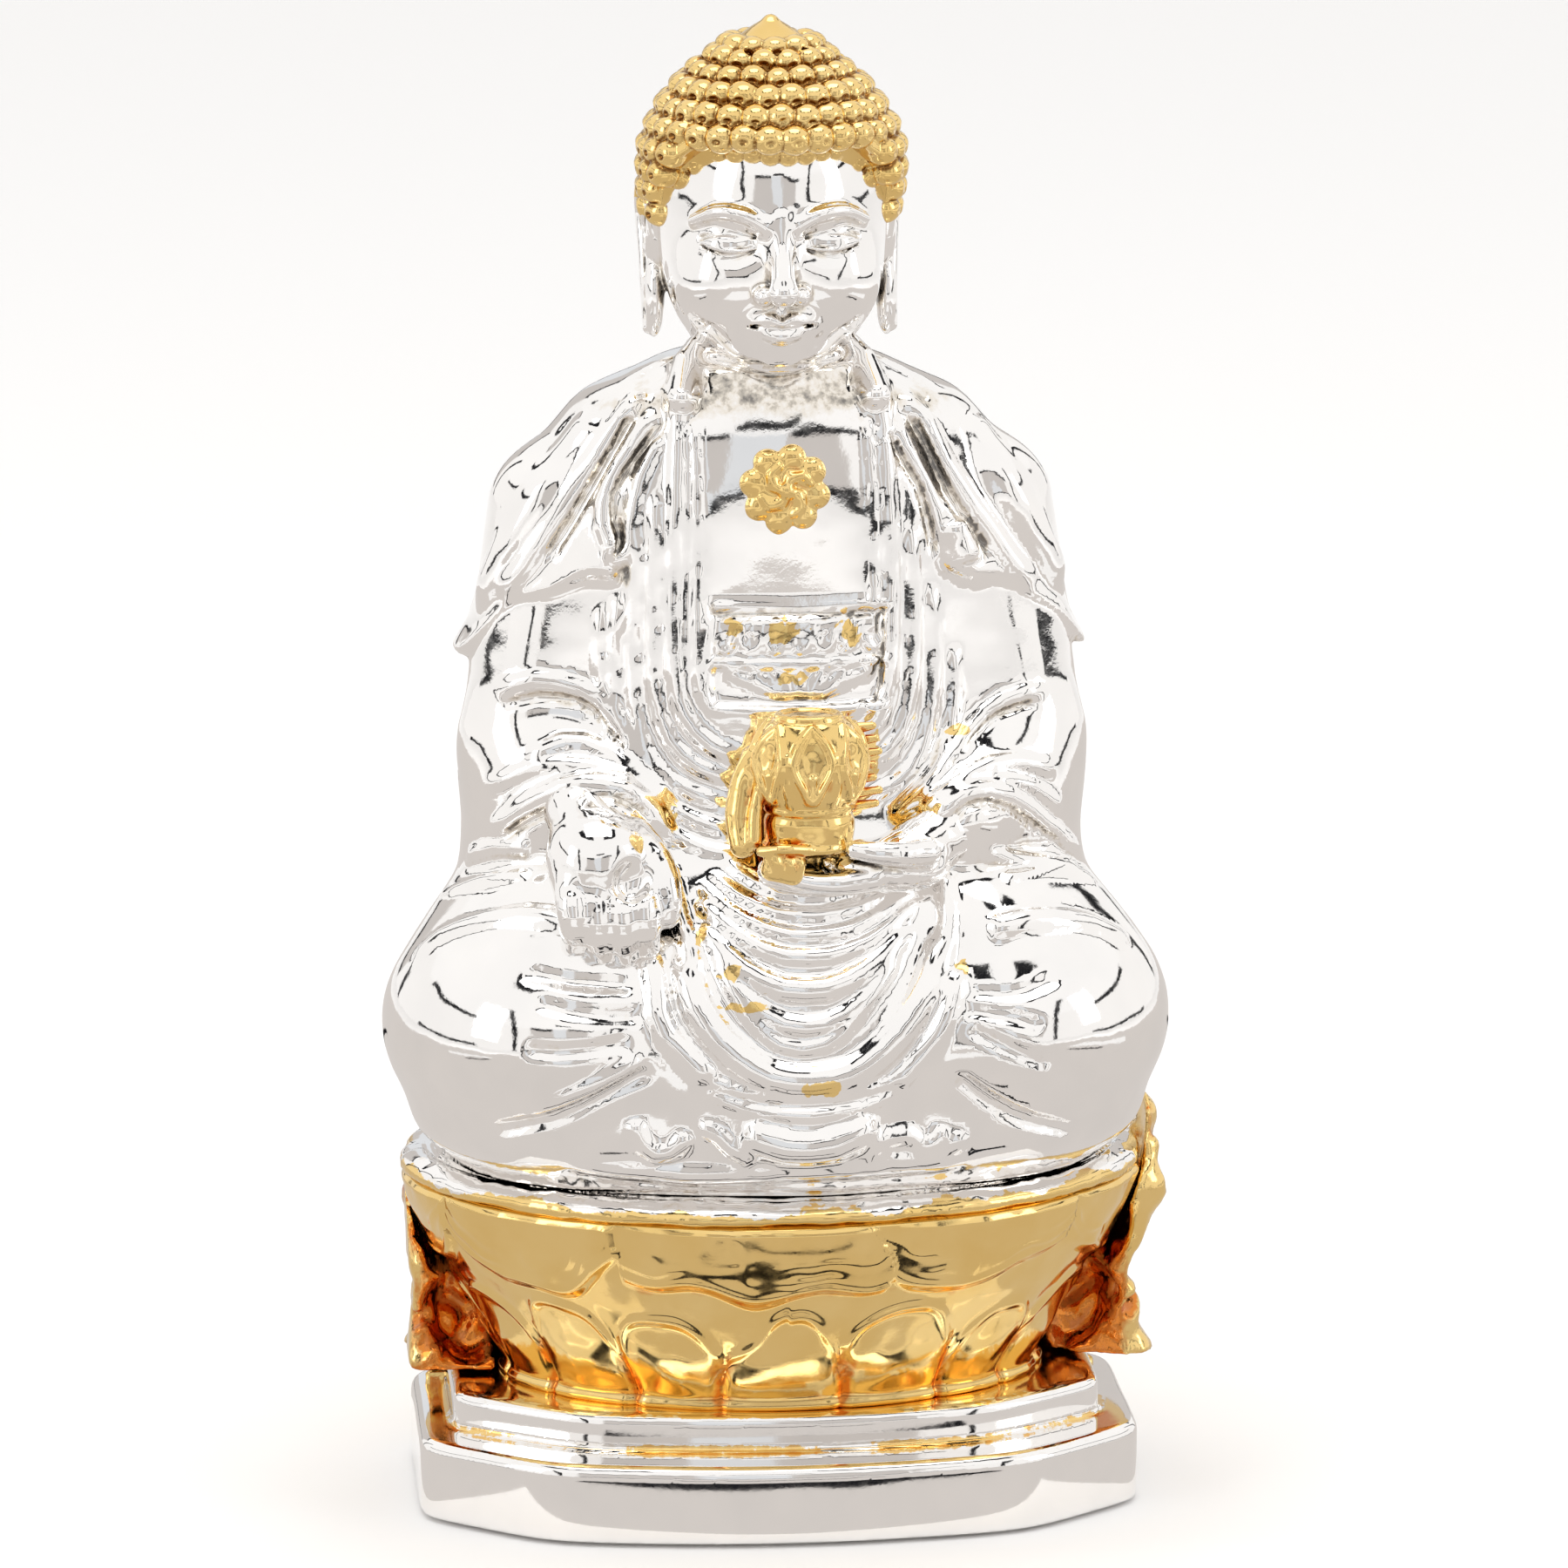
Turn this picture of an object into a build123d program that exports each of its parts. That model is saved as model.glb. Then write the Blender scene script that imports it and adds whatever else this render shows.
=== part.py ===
"""Seated Buddha statue on a lotus throne: resin castings, silver and gold plated,
pegged together and drawn down on the plinth by one tie screw from beneath.

Frame: +Z up, the figure faces -Y, origin on the resting surface under the
middle of the statue's bounding box. Millimetres.
"""
from build123d import *
import os

os.makedirs("parts", exist_ok=True)

# ---------------------------------------------------------------- dimensions
PAD_T = 0.9            # felt pad thickness
PLINTH_Z0 = 0.4        # skirt of the plinth, the pad stands this much proud
STEP_Z = 8.0           # top of the lower step
PLINTH_TOP = 12.0      # top of the upper step
THRONE_TOP = 33.2      # top of the gold bowl of the throne
SEAT_TOP = 35.6        # top of the silver seat disc
FOOT_A, FOOT_B = 27.6, 18.2      # throne foot, half axes
RIM_A, RIM_B = 37.4, 27.4        # throne rim, half axes
SCREEN_X = 39.6        # half width of the back screen
SCREEN_Y = 27.8        # its furthest reach behind
NECK_R = 7.6
DOWEL_R = 3.0
TIE_R = 2.0            # M4 tie screw
TIE_CLEAR = 2.25
HEAD_C = (0.0, -2.6, 129.0)
RIGHT_HAND = (-17.4, -19.9, 67.4)   # middle of the back of the hand on the knee
LEFT_HAND = (8.4, -18.6, 66.9)      # middle of the upturned palm
GAP = 0.15             # glue gap between castings

# ---------------------------------------------------------------- felt pad
with BuildPart() as felt_pad:
    with BuildSketch():
        with BuildLine():
            Polyline((-21.5, -21.0), (21.5, -21.0), (33.8, -12.0), (33.8, 11.0),
                     (22.4, 19.6), (-22.4, 19.6), (-33.8, 11.0), (-33.8, -12.0), close=True)
        make_face()
    extrude(amount=PAD_T)
felt_pad.part.label = "felt_pad"

# ---------------------------------------------------------------- plinth
with BuildPart() as plinth:
    with BuildSketch(Plane.XY.offset(PLINTH_Z0)):
        with BuildLine():
            ThreePointArc((-23.4, -23.8), (0, -27.0), (23.4, -23.8))
            Polyline((23.4, -23.8), (36.4, -13.5), (36.4, 12.2), (24.0, 22.0),
                     (-24.0, 22.0), (-36.4, 12.2), (-36.4, -13.5), (-23.4, -23.8))
        make_face()
    extrude(amount=STEP_Z - PLINTH_Z0)
    top_edges = plinth.edges().group_by(Axis.Z)[-1]
    fillet(top_edges, radius=1.1)
    with BuildSketch(Plane.XY.offset(STEP_Z - 0.01)):
        with BuildLine():
            ThreePointArc((-19.6, -18.6), (0, -20.9), (19.6, -18.6))
            Polyline((19.6, -18.6), (32.9, -9.4), (32.9, 9.2), (21.2, 18.4),
                     (-21.2, 18.4), (-32.9, 9.2), (-32.9, -9.4), (-19.6, -18.6))
        make_face()
    extrude(amount=PLINTH_TOP - STEP_Z + 0.01)
    top_edges2 = plinth.edges().group_by(Axis.Z)[-1]
    fillet(top_edges2, radius=0.9)
    # rebate for the felt pad
    with BuildSketch(Plane.XY.offset(PLINTH_Z0)):
        with BuildLine():
            Polyline((-21.8, -21.4), (21.8, -21.4), (34.2, -12.2), (34.2, 11.2),
                     (22.6, 20.0), (-22.6, 20.0), (-34.2, 11.2), (-34.2, -12.2), close=True)
        make_face()
    extrude(amount=PAD_T - PLINTH_Z0, mode=Mode.SUBTRACT)
    # counterbore for the washer and screw head, and the clearance hole above it
    with Locations((0, 0, PAD_T)):
        Cylinder(5.6, 6.1, align=(Align.CENTER, Align.CENTER, Align.MIN), mode=Mode.SUBTRACT)
    with Locations((0, 0, PAD_T)):
        Cylinder(TIE_CLEAR, 20, align=(Align.CENTER, Align.CENTER, Align.MIN), mode=Mode.SUBTRACT)
    # two blind holes for the throne's locating pins, two for the back screen's
    with Locations((-14, 0, PLINTH_TOP - 5), (14, 0, PLINTH_TOP - 5)):
        Cylinder(1.25, 6, align=(Align.CENTER, Align.CENTER, Align.MIN), mode=Mode.SUBTRACT)
    with Locations(Location((-15, 22.5, 5.0), (90, 0, 0)), Location((15, 22.5, 5.0), (90, 0, 0))):
        Cylinder(1.05, 12, mode=Mode.SUBTRACT)
plinth.part.label = "plinth"

# ---------------------------------------------------------------- lotus throne
with BuildPart() as lotus_throne:
    for z, a, b in ((PLINTH_TOP, FOOT_A, FOOT_B), (14.0, 26.6, 18.0), (19.0, 29.8, 21.4),
                    (25.0, 33.6, 24.6), (30.0, 36.2, 26.6), (THRONE_TOP, RIM_A, RIM_B)):
        with BuildSketch(Plane.XY.offset(z)):
            Ellipse(a, b)
    loft()
    # seat recess
    with BuildSketch(Plane.XY.offset(THRONE_TOP - 1.2)):
        Ellipse(34.2, 24.4)
    extrude(amount=2.0, mode=Mode.SUBTRACT)
    with Locations((0, 0, PLINTH_TOP - 1)):
        Cylinder(TIE_CLEAR, 30, align=(Align.CENTER, Align.CENTER, Align.MIN), mode=Mode.SUBTRACT)
    with Locations((-14, 0, PLINTH_TOP - 1), (14, 0, PLINTH_TOP - 1)):
        Cylinder(1.25, 5.5, align=(Align.CENTER, Align.CENTER, Align.MIN), mode=Mode.SUBTRACT)
lotus_throne.part.label = "lotus_throne"

# ---------------------------------------------------------------- throne seat disc
with BuildPart() as throne_seat:
    with BuildSketch(Plane.XY.offset(THRONE_TOP - 1.2 + 0.05)):
        Ellipse(34.0, 24.2)
    extrude(amount=1.15)
    with BuildSketch(Plane.XY.offset(THRONE_TOP)):
        Ellipse(37.2, 27.2)
    with BuildSketch(Plane.XY.offset(SEAT_TOP)):
        Ellipse(36.2, 26.2)
    loft()
    with Locations((0, 0, 30)):
        Cylinder(TIE_CLEAR, 10, mode=Mode.SUBTRACT)
    with Locations((0, 0, SEAT_TOP)):
        Cylinder(TIE_CLEAR, 10, mode=Mode.SUBTRACT)
throne_seat.part.label = "throne_seat"

# ---------------------------------------------------------------- free-form blanks
# Ellipsoids that the builder contexts below add or cut.
def ellipsoid(centre, radii, rotation=(0, 0, 0)):
    return Location(centre, rotation) * scale(Solid.make_sphere(1), by=radii)


knee_right = ellipsoid((-23.2, -7.6, 50.0), (16.2, 18.8, 13.7), (0, 0, 12))
knee_left = ellipsoid((23.2, -7.6, 50.0), (16.2, 18.8, 13.7), (0, 0, -12))
skull = ellipsoid(HEAD_C, (11.9, 12.9, 15.6), (0, 0, 31))
jar_belly = ellipsoid((2.0, -18.6, 77.2), (5.7, 4.7, 5.4))

# ---------------------------------------------------------------- figure body
# One casting: robed torso, sleeves, crossed legs and lap drape.
with BuildPart() as figure_body:
    # seat, lap and waist
    for z, a, b, cy in ((SEAT_TOP, 32.6, 23.2, -0.5), (38.0, 34.6, 24.4, -1.0), (43.0, 36.4, 25.6, -1.4),
                        (49.5, 37.2, 26.0, -1.4), (55.0, 36.0, 24.8, -1.0), (60.0, 33.4, 22.8, -0.6),
                        (65.0, 30.0, 19.8, 0.2), (69.0, 26.6, 16.4, 1.0)):
        with BuildSketch(Plane((0, cy, z))):
            Ellipse(a, b)
    loft()
    # torso under the cape, up to the collar
    for z, a, b, cy in ((56.0, 25.0, 16.0, 1.0), (68.0, 28.6, 15.0, 1.2), (78.0, 29.4, 14.4, 1.4),
                        (86.0, 29.6, 14.0, 1.4), (95.0, 27.4, 13.6, 1.2), (102.0, 25.0, 13.0, 0.8),
                        (108.0, 21.6, 11.6, 0.4), (112.5, 17.4, 10.0, 0.0), (115.5, 11.6, 8.6, -0.6)):
        with BuildSketch(Plane((0, cy, z))):
            Ellipse(a, b)
    loft()
    add(knee_right)
    add(knee_left)
    # under-sleeves: from the cape hem, round the elbow, to the wrist
    for side in (-1, 1):
        for at, along, r in (((25.6, 1.0, 85.0), (0, -0.25, -1), 5.4), ((26.2, -4.0, 75.6), (-0.25, -0.75, -0.6), 6.4),
                             ((19.4, -13.4, 72.0), (-0.62, -0.78, -0.05), 5.0)):
            with BuildSketch(Plane((side * at[0], at[1], at[2]), z_dir=(side * along[0], along[1], along[2]))):
                Circle(r)
        loft()
    # hem of the short cape sleeves, standing proud of the under-sleeves
    for z, a, b in ((84.4, 30.2, 13.2), (86.6, 31.2, 14.4), (90.0, 30.4, 14.6), (94.0, 28.0, 13.8)):
        with BuildSketch(Plane((0, 1.4, z))):
            Ellipse(a, b)
    loft()
    # U-shaped opening of the robe over the bare chest
    with BuildSketch(Plane((0.4, -10.9, 0), x_dir=(1, 0, 0), z_dir=(0, -1, 0))):
        with BuildLine():
            Polyline((-8.6, 116), (-8.6, 84.5), (-6.2, 82.0), (6.2, 82.0), (8.6, 84.5), (8.6, 116), close=True)
        make_face()
    extrude(amount=6, mode=Mode.SUBTRACT)
    # lap folds: shallow swags between the knees
    for z_low, drop, reach in ((46.2, 12.4, 27.8), (52.2, 8.4, 26.9), (57.2, 5.2, 25.2)):
        with BuildSketch(Plane((1.0, 2.4 - reach, 0), x_dir=(1, 0, 0), z_dir=(0, -1, 0))):
            with BuildLine():
                ThreePointArc((-12.6, z_low + drop), (0, z_low), (12.6, z_low + drop))
                Line((12.6, z_low + drop), (11.4, z_low + drop + 0.9))
                ThreePointArc((11.4, z_low + drop + 0.9), (0, z_low + 1.7), (-11.4, z_low + drop + 0.9))
                Line((-11.4, z_low + drop + 0.9), (-12.6, z_low + drop))
            make_face()
        extrude(amount=2.4)
    # sockets: neck, neck dowel, hands, tie screw insert
    with Locations((0, -0.6, 111.8)):
        Cylinder(NECK_R + GAP, 6, align=(Align.CENTER, Align.CENTER, Align.MIN), mode=Mode.SUBTRACT)
    with Locations((0, -0.6, 104.0)):
        Cylinder(DOWEL_R + 0.05, 9, align=(Align.CENTER, Align.CENTER, Align.MIN), mode=Mode.SUBTRACT)
    with Locations((0, 0, SEAT_TOP - 1)):
        Cylinder(3.0, 11.0, align=(Align.CENTER, Align.CENTER, Align.MIN), mode=Mode.SUBTRACT)
    with Locations(Location(RIGHT_HAND, (66, 0, 0))):
        Cylinder(1.05, 22, mode=Mode.SUBTRACT)
        Box(9.2, 9.0, 4.2, mode=Mode.SUBTRACT)
    with Locations(Location(LEFT_HAND, (90, 0, 0))):
        Cylinder(1.05, 20, mode=Mode.SUBTRACT)
    with Locations((LEFT_HAND[0] - 2.0, LEFT_HAND[1] - 2.0, LEFT_HAND[2])):
        Box(21.0, 12.6, 4.7, mode=Mode.SUBTRACT)
    add(jar_belly, mode=Mode.SUBTRACT)
    # hollow under the chin
    with Locations((0, -2.6, 118.0)):
        Cylinder(9.0, 6.0, mode=Mode.SUBTRACT)
figure_body.part.label = "figure_body"

# ---------------------------------------------------------------- head
with BuildPart() as head:
    add(skull)
    # jaw and chin
    for z, a, b, cy in ((117.6, 3.6, 3.4, -9.0), (119.2, 6.2, 6.4, -7.8), (122.5, 9.2, 9.4, -5.6), (127.0, 10.6, 11.2, -4.2)):
        with BuildSketch(Plane((0, cy, z))):
            Ellipse(a, b)
    loft()
    # nose
    for z, a, b, cy in ((124.9, 1.9, 1.7, -15.6), (127.0, 1.4, 1.4, -15.4), (131.5, 0.7, 0.8, -14.6)):
        with BuildSketch(Plane((0, cy, z))):
            Ellipse(a, b)
    loft()
    # long ears
    for side in (-1, 1):
        with BuildSketch(Plane((side * 10.2, 0, 0), x_dir=(0, side, 0), z_dir=(side, 0, 0))):
            with Locations((side * -0.6, 129.6)):
                Ellipse(2.9, 4.2)
            with Locations((side * -1.4, 123.0)):
                Ellipse(1.8, 4.9)
        extrude(amount=2.5)
    with Locations((0, -0.6, 111.8)):
        Cylinder(NECK_R, 12, align=(Align.CENTER, Align.CENTER, Align.MIN))
    # flat crown under the hair cap
    with BuildSketch(Plane.XY.offset(143.0)):
        Rectangle(40, 40)
    extrude(amount=4, mode=Mode.SUBTRACT)
    with Locations((0, -0.6, 111.8)):
        Cylinder(DOWEL_R + 0.05, 8, align=(Align.CENTER, Align.CENTER, Align.MIN), mode=Mode.SUBTRACT)
head.part.label = "head"

# ---------------------------------------------------------------- neck dowel
with BuildPart() as neck_dowel:
    with Locations((0, -0.6, 104.1)):
        Cylinder(DOWEL_R, 15.4, align=(Align.CENTER, Align.CENTER, Align.MIN))
    chamfer(neck_dowel.edges().filter_by(GeomType.CIRCLE), length=0.5)
neck_dowel.part.label = "neck_dowel"

# ---------------------------------------------------------------- hair cap
with BuildPart() as hair_cap:
    for z, a, b, cy in ((130.2, 12.6, 11.2, 0.6), (133.6, 13.0, 13.0, -1.2), (137.0, 13.1, 13.7, -2.0),
                        (140.4, 11.7, 12.4, -1.9), (143.8, 9.0, 9.8, -1.4), (147.0, 5.3, 5.6, -1.0),
                        (149.2, 2.6, 2.8, -0.8), (150.0, 1.0, 1.0, -0.8)):
        with BuildSketch(Plane((0, cy, z))):
            Ellipse(a, b)
    loft()
    # open over the face below the hairline
    with BuildSketch(Plane((0, -3.2, 0), x_dir=(1, 0, 0), z_dir=(0, -1, 0))):
        with BuildLine():
            ThreePointArc((-12.6, 128), (-11.0, 135.2), (-6.6, 138.8))
            Polyline((-6.6, 138.8), (6.6, 138.8))
            ThreePointArc((6.6, 138.8), (11.0, 135.2), (12.6, 128))
            Line((12.6, 128), (-12.6, 128))
        make_face()
    extrude(amount=20, mode=Mode.SUBTRACT)
    add(head.part, mode=Mode.SUBTRACT)
hair_cap.part.label = "hair_cap"

# ---------------------------------------------------------------- hands
with BuildPart() as right_hand:
    right_plane = Plane(Location(RIGHT_HAND, (66, 0, 0)))
    with BuildSketch(right_plane):
        RectangleRounded(9.0, 8.8, 1.8)
    extrude(amount=2.0, both=True)
    # four fingers lying down over the knee
    with BuildSketch(right_plane):
        for x, length in ((-3.2, 6.2), (-1.1, 7.4), (1.1, 7.4), (3.2, 6.2)):
            with Locations((x, -3.0 - length / 2)):
                SlotOverall(length, 1.9, rotation=90)
    extrude(amount=1.0, both=True)
    with Locations(Location(RIGHT_HAND, (66, 0, 0))):
        Cylinder(1.05, 3.4, align=(Align.CENTER, Align.CENTER, Align.MAX), mode=Mode.SUBTRACT)
right_hand.part.label = "right_hand"

with BuildPart() as left_hand:
    left_plane = Plane(Location(LEFT_HAND))
    with BuildSketch(left_plane):
        RectangleRounded(16.0, 8.2, 2.6)
    extrude(amount=2.2, both=True)
    # four fingers, palm up, pointing to the other hand
    with BuildSketch(left_plane):
        for y, length in ((-2.9, 5.2), (-0.97, 5.9), (0.97, 5.9), (2.9, 5.2)):
            with Locations((-6.0 - length / 2, y)):
                SlotOverall(length, 1.8)
    extrude(amount=0.95, both=True)
    with Locations(Location(LEFT_HAND, (90, 0, 0))):
        Cylinder(1.05, 4.4, align=(Align.CENTER, Align.CENTER, Align.MAX), mode=Mode.SUBTRACT)
left_hand.part.label = "left_hand"

with BuildPart() as hand_dowels:
    with Locations(Location(RIGHT_HAND, (66, 0, 0)) * Location((0, 0, -2.4))):
        Cylinder(1.0, 5.6, align=(Align.CENTER, Align.CENTER, Align.MAX))
    with Locations(Location(LEFT_HAND, (90, 0, 0)) * Location((0, 0, -1.0))):
        Cylinder(1.0, 8.0, align=(Align.CENTER, Align.CENTER, Align.MAX))
hand_dowels.part.label = "hand_dowels"

# ---------------------------------------------------------------- jar
with BuildPart() as treasure_jar:
    add(jar_belly)
    with Locations((2.0, -18.6, 69.15)):
        Cylinder(4.0, 3.9, align=(Align.CENTER, Align.CENTER, Align.MIN))
    with Locations((2.0, -18.6, 81.2)):
        Cylinder(3.5, 2.1, align=(Align.CENTER, Align.CENTER, Align.MIN))
treasure_jar.part.label = "treasure_jar"

# ---------------------------------------------------------------- chest roundel
with BuildPart() as chest_roundel:
    with BuildSketch(Plane((0.5, -10.95, 104.4), x_dir=(1, 0, 0), z_dir=(0, -1, 0))):
        Circle(3.3)
        with PolarLocations(3.2, 8):
            Circle(1.35)
    extrude(amount=1.5)
    with Locations(Location((0.5, -12.4, 104.4), (90, 0, 0))):
        Cone(2.4, 1.2, 0.7, align=(Align.CENTER, Align.CENTER, Align.MIN))
chest_roundel.part.label = "chest_roundel"

# ---------------------------------------------------------------- back screen
# Carved cloud work standing behind the plinth and round the throne.
with BuildPart() as back_screen:
    with BuildSketch(Plane.XY.offset(PLINTH_Z0)):
        Ellipse(SCREEN_X, SCREEN_Y)
    extrude(amount=39.2 - PLINTH_Z0)
    with BuildSketch(Plane.XY.offset(-1)):
        with Locations((0, -30)):
            Rectangle(100, 54)
    extrude(amount=60, mode=Mode.SUBTRACT)
    # room for the plinth
    with BuildSketch(Plane.XY.offset(-1)):
        with BuildLine():
            Polyline((36.45, -16), (36.45, 12.2), (24.05, 22.05), (-24.05, 22.05), (-36.45, 12.2), (-36.45, -16), close=True)
        make_face()
    extrude(amount=PLINTH_TOP + 1.05, mode=Mode.SUBTRACT)
    # below the plinth's top the screen stands only behind its back corners
    with BuildSketch(Plane.XY.offset(-1)):
        with Locations((0, -9)):
            Rectangle(100, 42)
    extrude(amount=PLINTH_TOP + 1.2, mode=Mode.SUBTRACT)
    # the end beside the figure's right knee is drawn in
    with BuildSketch(Plane.XY.offset(-1)):
        with Locations((-47.2, -6)):
            Rectangle(20, 28)
    extrude(amount=60, mode=Mode.SUBTRACT)
    # room for the throne, its seat and the figure's robe
    for z, a, b in ((PLINTH_TOP, FOOT_A, FOOT_B), (14.0, 26.6, 18.0), (19.0, 29.8, 21.4),
                    (25.0, 33.6, 24.6), (30.0, 36.2, 26.6), (THRONE_TOP, RIM_A, RIM_B)):
        with BuildSketch(Plane.XY.offset(z)):
            Ellipse(a + 0.3, b + 0.2)
    loft(mode=Mode.SUBTRACT)
    with BuildSketch(Plane.XY.offset(THRONE_TOP - 0.01)):
        Ellipse(RIM_A + 0.3, RIM_B + 0.2)
    extrude(amount=12, mode=Mode.SUBTRACT)
    # scalloped top edge, lower on the right-hand side of the figure
    with BuildSketch(Plane((0, 40, 0), x_dir=(-1, 0, 0), z_dir=(0, 1, 0))):
        with BuildLine():
            Polyline((-41, 39.2), (-36, 34.2), (-24, 30.5), (-12, 33.4), (0, 30.0), (12, 32.4), (24, 29.0),
                     (34, 32.2), (41, 30.0), (41, 60), (-41, 60), close=True)
        make_face()
    extrude(amount=-60, mode=Mode.SUBTRACT)
    with Locations(Location((-15, 23.5, 5.0), (90, 0, 0)), Location((15, 23.5, 5.0), (90, 0, 0))):
        Cylinder(1.05, 6, mode=Mode.SUBTRACT)
back_screen.part.label = "back_screen"

# ---------------------------------------------------------------- hardware
with BuildPart() as screen_pins:
    with Locations(Location((-15, 21.4, 5.0), (90, 0, 0)), Location((15, 21.4, 5.0), (90, 0, 0))):
        Cylinder(1.0, 8)
screen_pins.part.label = "screen_pins"

with BuildPart() as throne_pins:
    with Locations((-14, 0, PLINTH_TOP - 4.8), (14, 0, PLINTH_TOP - 4.8)):
        Cylinder(1.2, 9.0, align=(Align.CENTER, Align.CENTER, Align.MIN))
throne_pins.part.label = "throne_pins"

with BuildPart() as tie_washer:
    with Locations((0, 0, 6.0)):
        Cylinder(5.2, 0.95, align=(Align.CENTER, Align.CENTER, Align.MIN))
        Hole(2.15)
tie_washer.part.label = "tie_washer"

with BuildPart() as tie_screw:
    with Locations((0, 0, 3.0)):
        Cylinder(3.6, 3.0, align=(Align.CENTER, Align.CENTER, Align.MIN))
    with Locations((0, 0, 6.0)):
        Cylinder(TIE_R, 38.0, align=(Align.CENTER, Align.CENTER, Align.MIN))
    with BuildSketch(Plane.XY.offset(2.9)):
        RegularPolygon(radius=1.5, side_count=6, major_radius=False)
    extrude(amount=1.9, mode=Mode.SUBTRACT)
    chamfer(tie_screw.edges().filter_by(GeomType.CIRCLE).sort_by(Axis.Z)[-1], length=0.4)
tie_screw.part.label = "tie_screw"

with BuildPart() as threaded_insert:
    with Locations((0, 0, SEAT_TOP + 0.2)):
        Cylinder(2.95, 8.0, align=(Align.CENTER, Align.CENTER, Align.MIN))
    with Locations((0, 0, SEAT_TOP - 1)):
        Cylinder(TIE_R + 0.05, 12, align=(Align.CENTER, Align.CENTER, Align.MIN), mode=Mode.SUBTRACT)
threaded_insert.part.label = "threaded_insert"

# ---------------------------------------------------------------- export
for name in (felt_pad, plinth, lotus_throne, throne_seat, back_screen, figure_body, head, neck_dowel, hair_cap,
             right_hand, left_hand, hand_dowels, treasure_jar, chest_roundel, screen_pins, throne_pins,
             tie_washer, tie_screw, threaded_insert):
    export_step(name.part, f"parts/{name.part.label}.step")
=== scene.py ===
import math
import time
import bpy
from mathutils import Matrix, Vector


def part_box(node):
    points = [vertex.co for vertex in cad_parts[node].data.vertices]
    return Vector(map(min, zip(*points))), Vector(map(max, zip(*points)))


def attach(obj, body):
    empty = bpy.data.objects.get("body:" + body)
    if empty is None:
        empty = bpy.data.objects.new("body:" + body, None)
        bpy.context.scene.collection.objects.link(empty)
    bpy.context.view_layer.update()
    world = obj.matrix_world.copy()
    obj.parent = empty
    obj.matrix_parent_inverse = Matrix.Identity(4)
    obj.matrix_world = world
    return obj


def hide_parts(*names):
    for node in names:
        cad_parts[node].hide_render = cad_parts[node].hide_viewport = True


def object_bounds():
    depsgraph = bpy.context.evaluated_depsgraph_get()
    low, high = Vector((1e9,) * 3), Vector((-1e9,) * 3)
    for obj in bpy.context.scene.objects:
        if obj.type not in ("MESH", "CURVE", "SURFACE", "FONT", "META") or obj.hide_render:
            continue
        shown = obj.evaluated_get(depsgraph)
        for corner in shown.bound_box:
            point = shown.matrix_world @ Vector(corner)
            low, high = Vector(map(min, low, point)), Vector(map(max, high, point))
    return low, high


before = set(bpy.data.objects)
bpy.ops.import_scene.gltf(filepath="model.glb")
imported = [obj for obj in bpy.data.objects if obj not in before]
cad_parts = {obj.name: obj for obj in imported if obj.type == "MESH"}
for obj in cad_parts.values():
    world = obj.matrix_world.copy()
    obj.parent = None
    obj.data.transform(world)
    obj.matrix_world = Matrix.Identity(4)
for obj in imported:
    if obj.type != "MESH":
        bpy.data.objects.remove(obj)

from concurrent.futures import ThreadPoolExecutor

import bpy
import numpy as np
from mathutils import Matrix, Vector

CAD_BOX = [list(map(float, c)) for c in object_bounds()]

# ---------------------------------------------------------------- sculpting kit
# Distance fields in millimetres, in the row frame, meshed by surface nets.
def smin(a, b, k):
    if k <= 0:
        return np.minimum(a, b)
    h = np.clip(0.5 + 0.5 * (b - a) / k, 0, 1)
    return b * (1 - h) + a * h - k * h * (1 - h)


def smax(a, b, k):
    return -smin(-a, -b, k)


def rot(ax=0, ay=0, az=0):
    ax, ay, az = map(math.radians, (ax, ay, az))
    cx, sx, cy, sy, cz, sz = math.cos(ax), math.sin(ax), math.cos(ay), math.sin(ay), math.cos(az), math.sin(az)
    X = np.array([[1, 0, 0], [0, cx, -sx], [0, sx, cx]])
    Y = np.array([[cy, 0, sy], [0, 1, 0], [-sy, 0, cy]])
    Z = np.array([[cz, -sz, 0], [sz, cz, 0], [0, 0, 1]])
    return Z @ Y @ X


def ell(P, c, r, R=None):
    Q = P - np.array(c)
    if R is not None:
        Q = Q @ R
    r = np.array(r, float)
    k0 = np.sqrt(((Q / r) ** 2).sum(1))
    k1 = np.sqrt(((Q / (r * r)) ** 2).sum(1))
    return np.where(k1 > 1e-6, k0 * (k0 - 1) / np.maximum(k1, 1e-6), -r.min())


def cone(P, a, b, ra, rb):
    a, b = np.array(a, float), np.array(b, float)
    D = b - a
    V = P - a
    t = np.clip((V @ D) / (D @ D), 0, 1)
    return np.sqrt(((V - t[:, None] * D) ** 2).sum(1)) - (ra + (rb - ra) * t)


def boxr(P, c, h, r, R=None):
    Q = P - np.array(c)
    if R is not None:
        Q = Q @ R
    q = np.abs(Q) - (np.array(h) - r)
    return np.sqrt((np.maximum(q, 0) ** 2).sum(1)) + np.minimum(q.max(1), 0) - r


def seg(P, Q):
    """distance to a polyline, and how far along it (0 to 1) the nearest point is"""
    A, D = Q[:-1], Q[1:] - Q[:-1]
    L2 = (D * D).sum(1)
    V = P[:, None, :] - A[None]
    t = np.clip((V * D).sum(2) / L2, 0, 1)
    E = V - t[..., None] * D
    d2 = (E * E).sum(2)
    j = d2.argmin(1)
    i = np.arange(len(P))
    return np.sqrt(d2[i, j]), (j + t[i, j]) / len(A), E[i, j], D[j]


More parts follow.
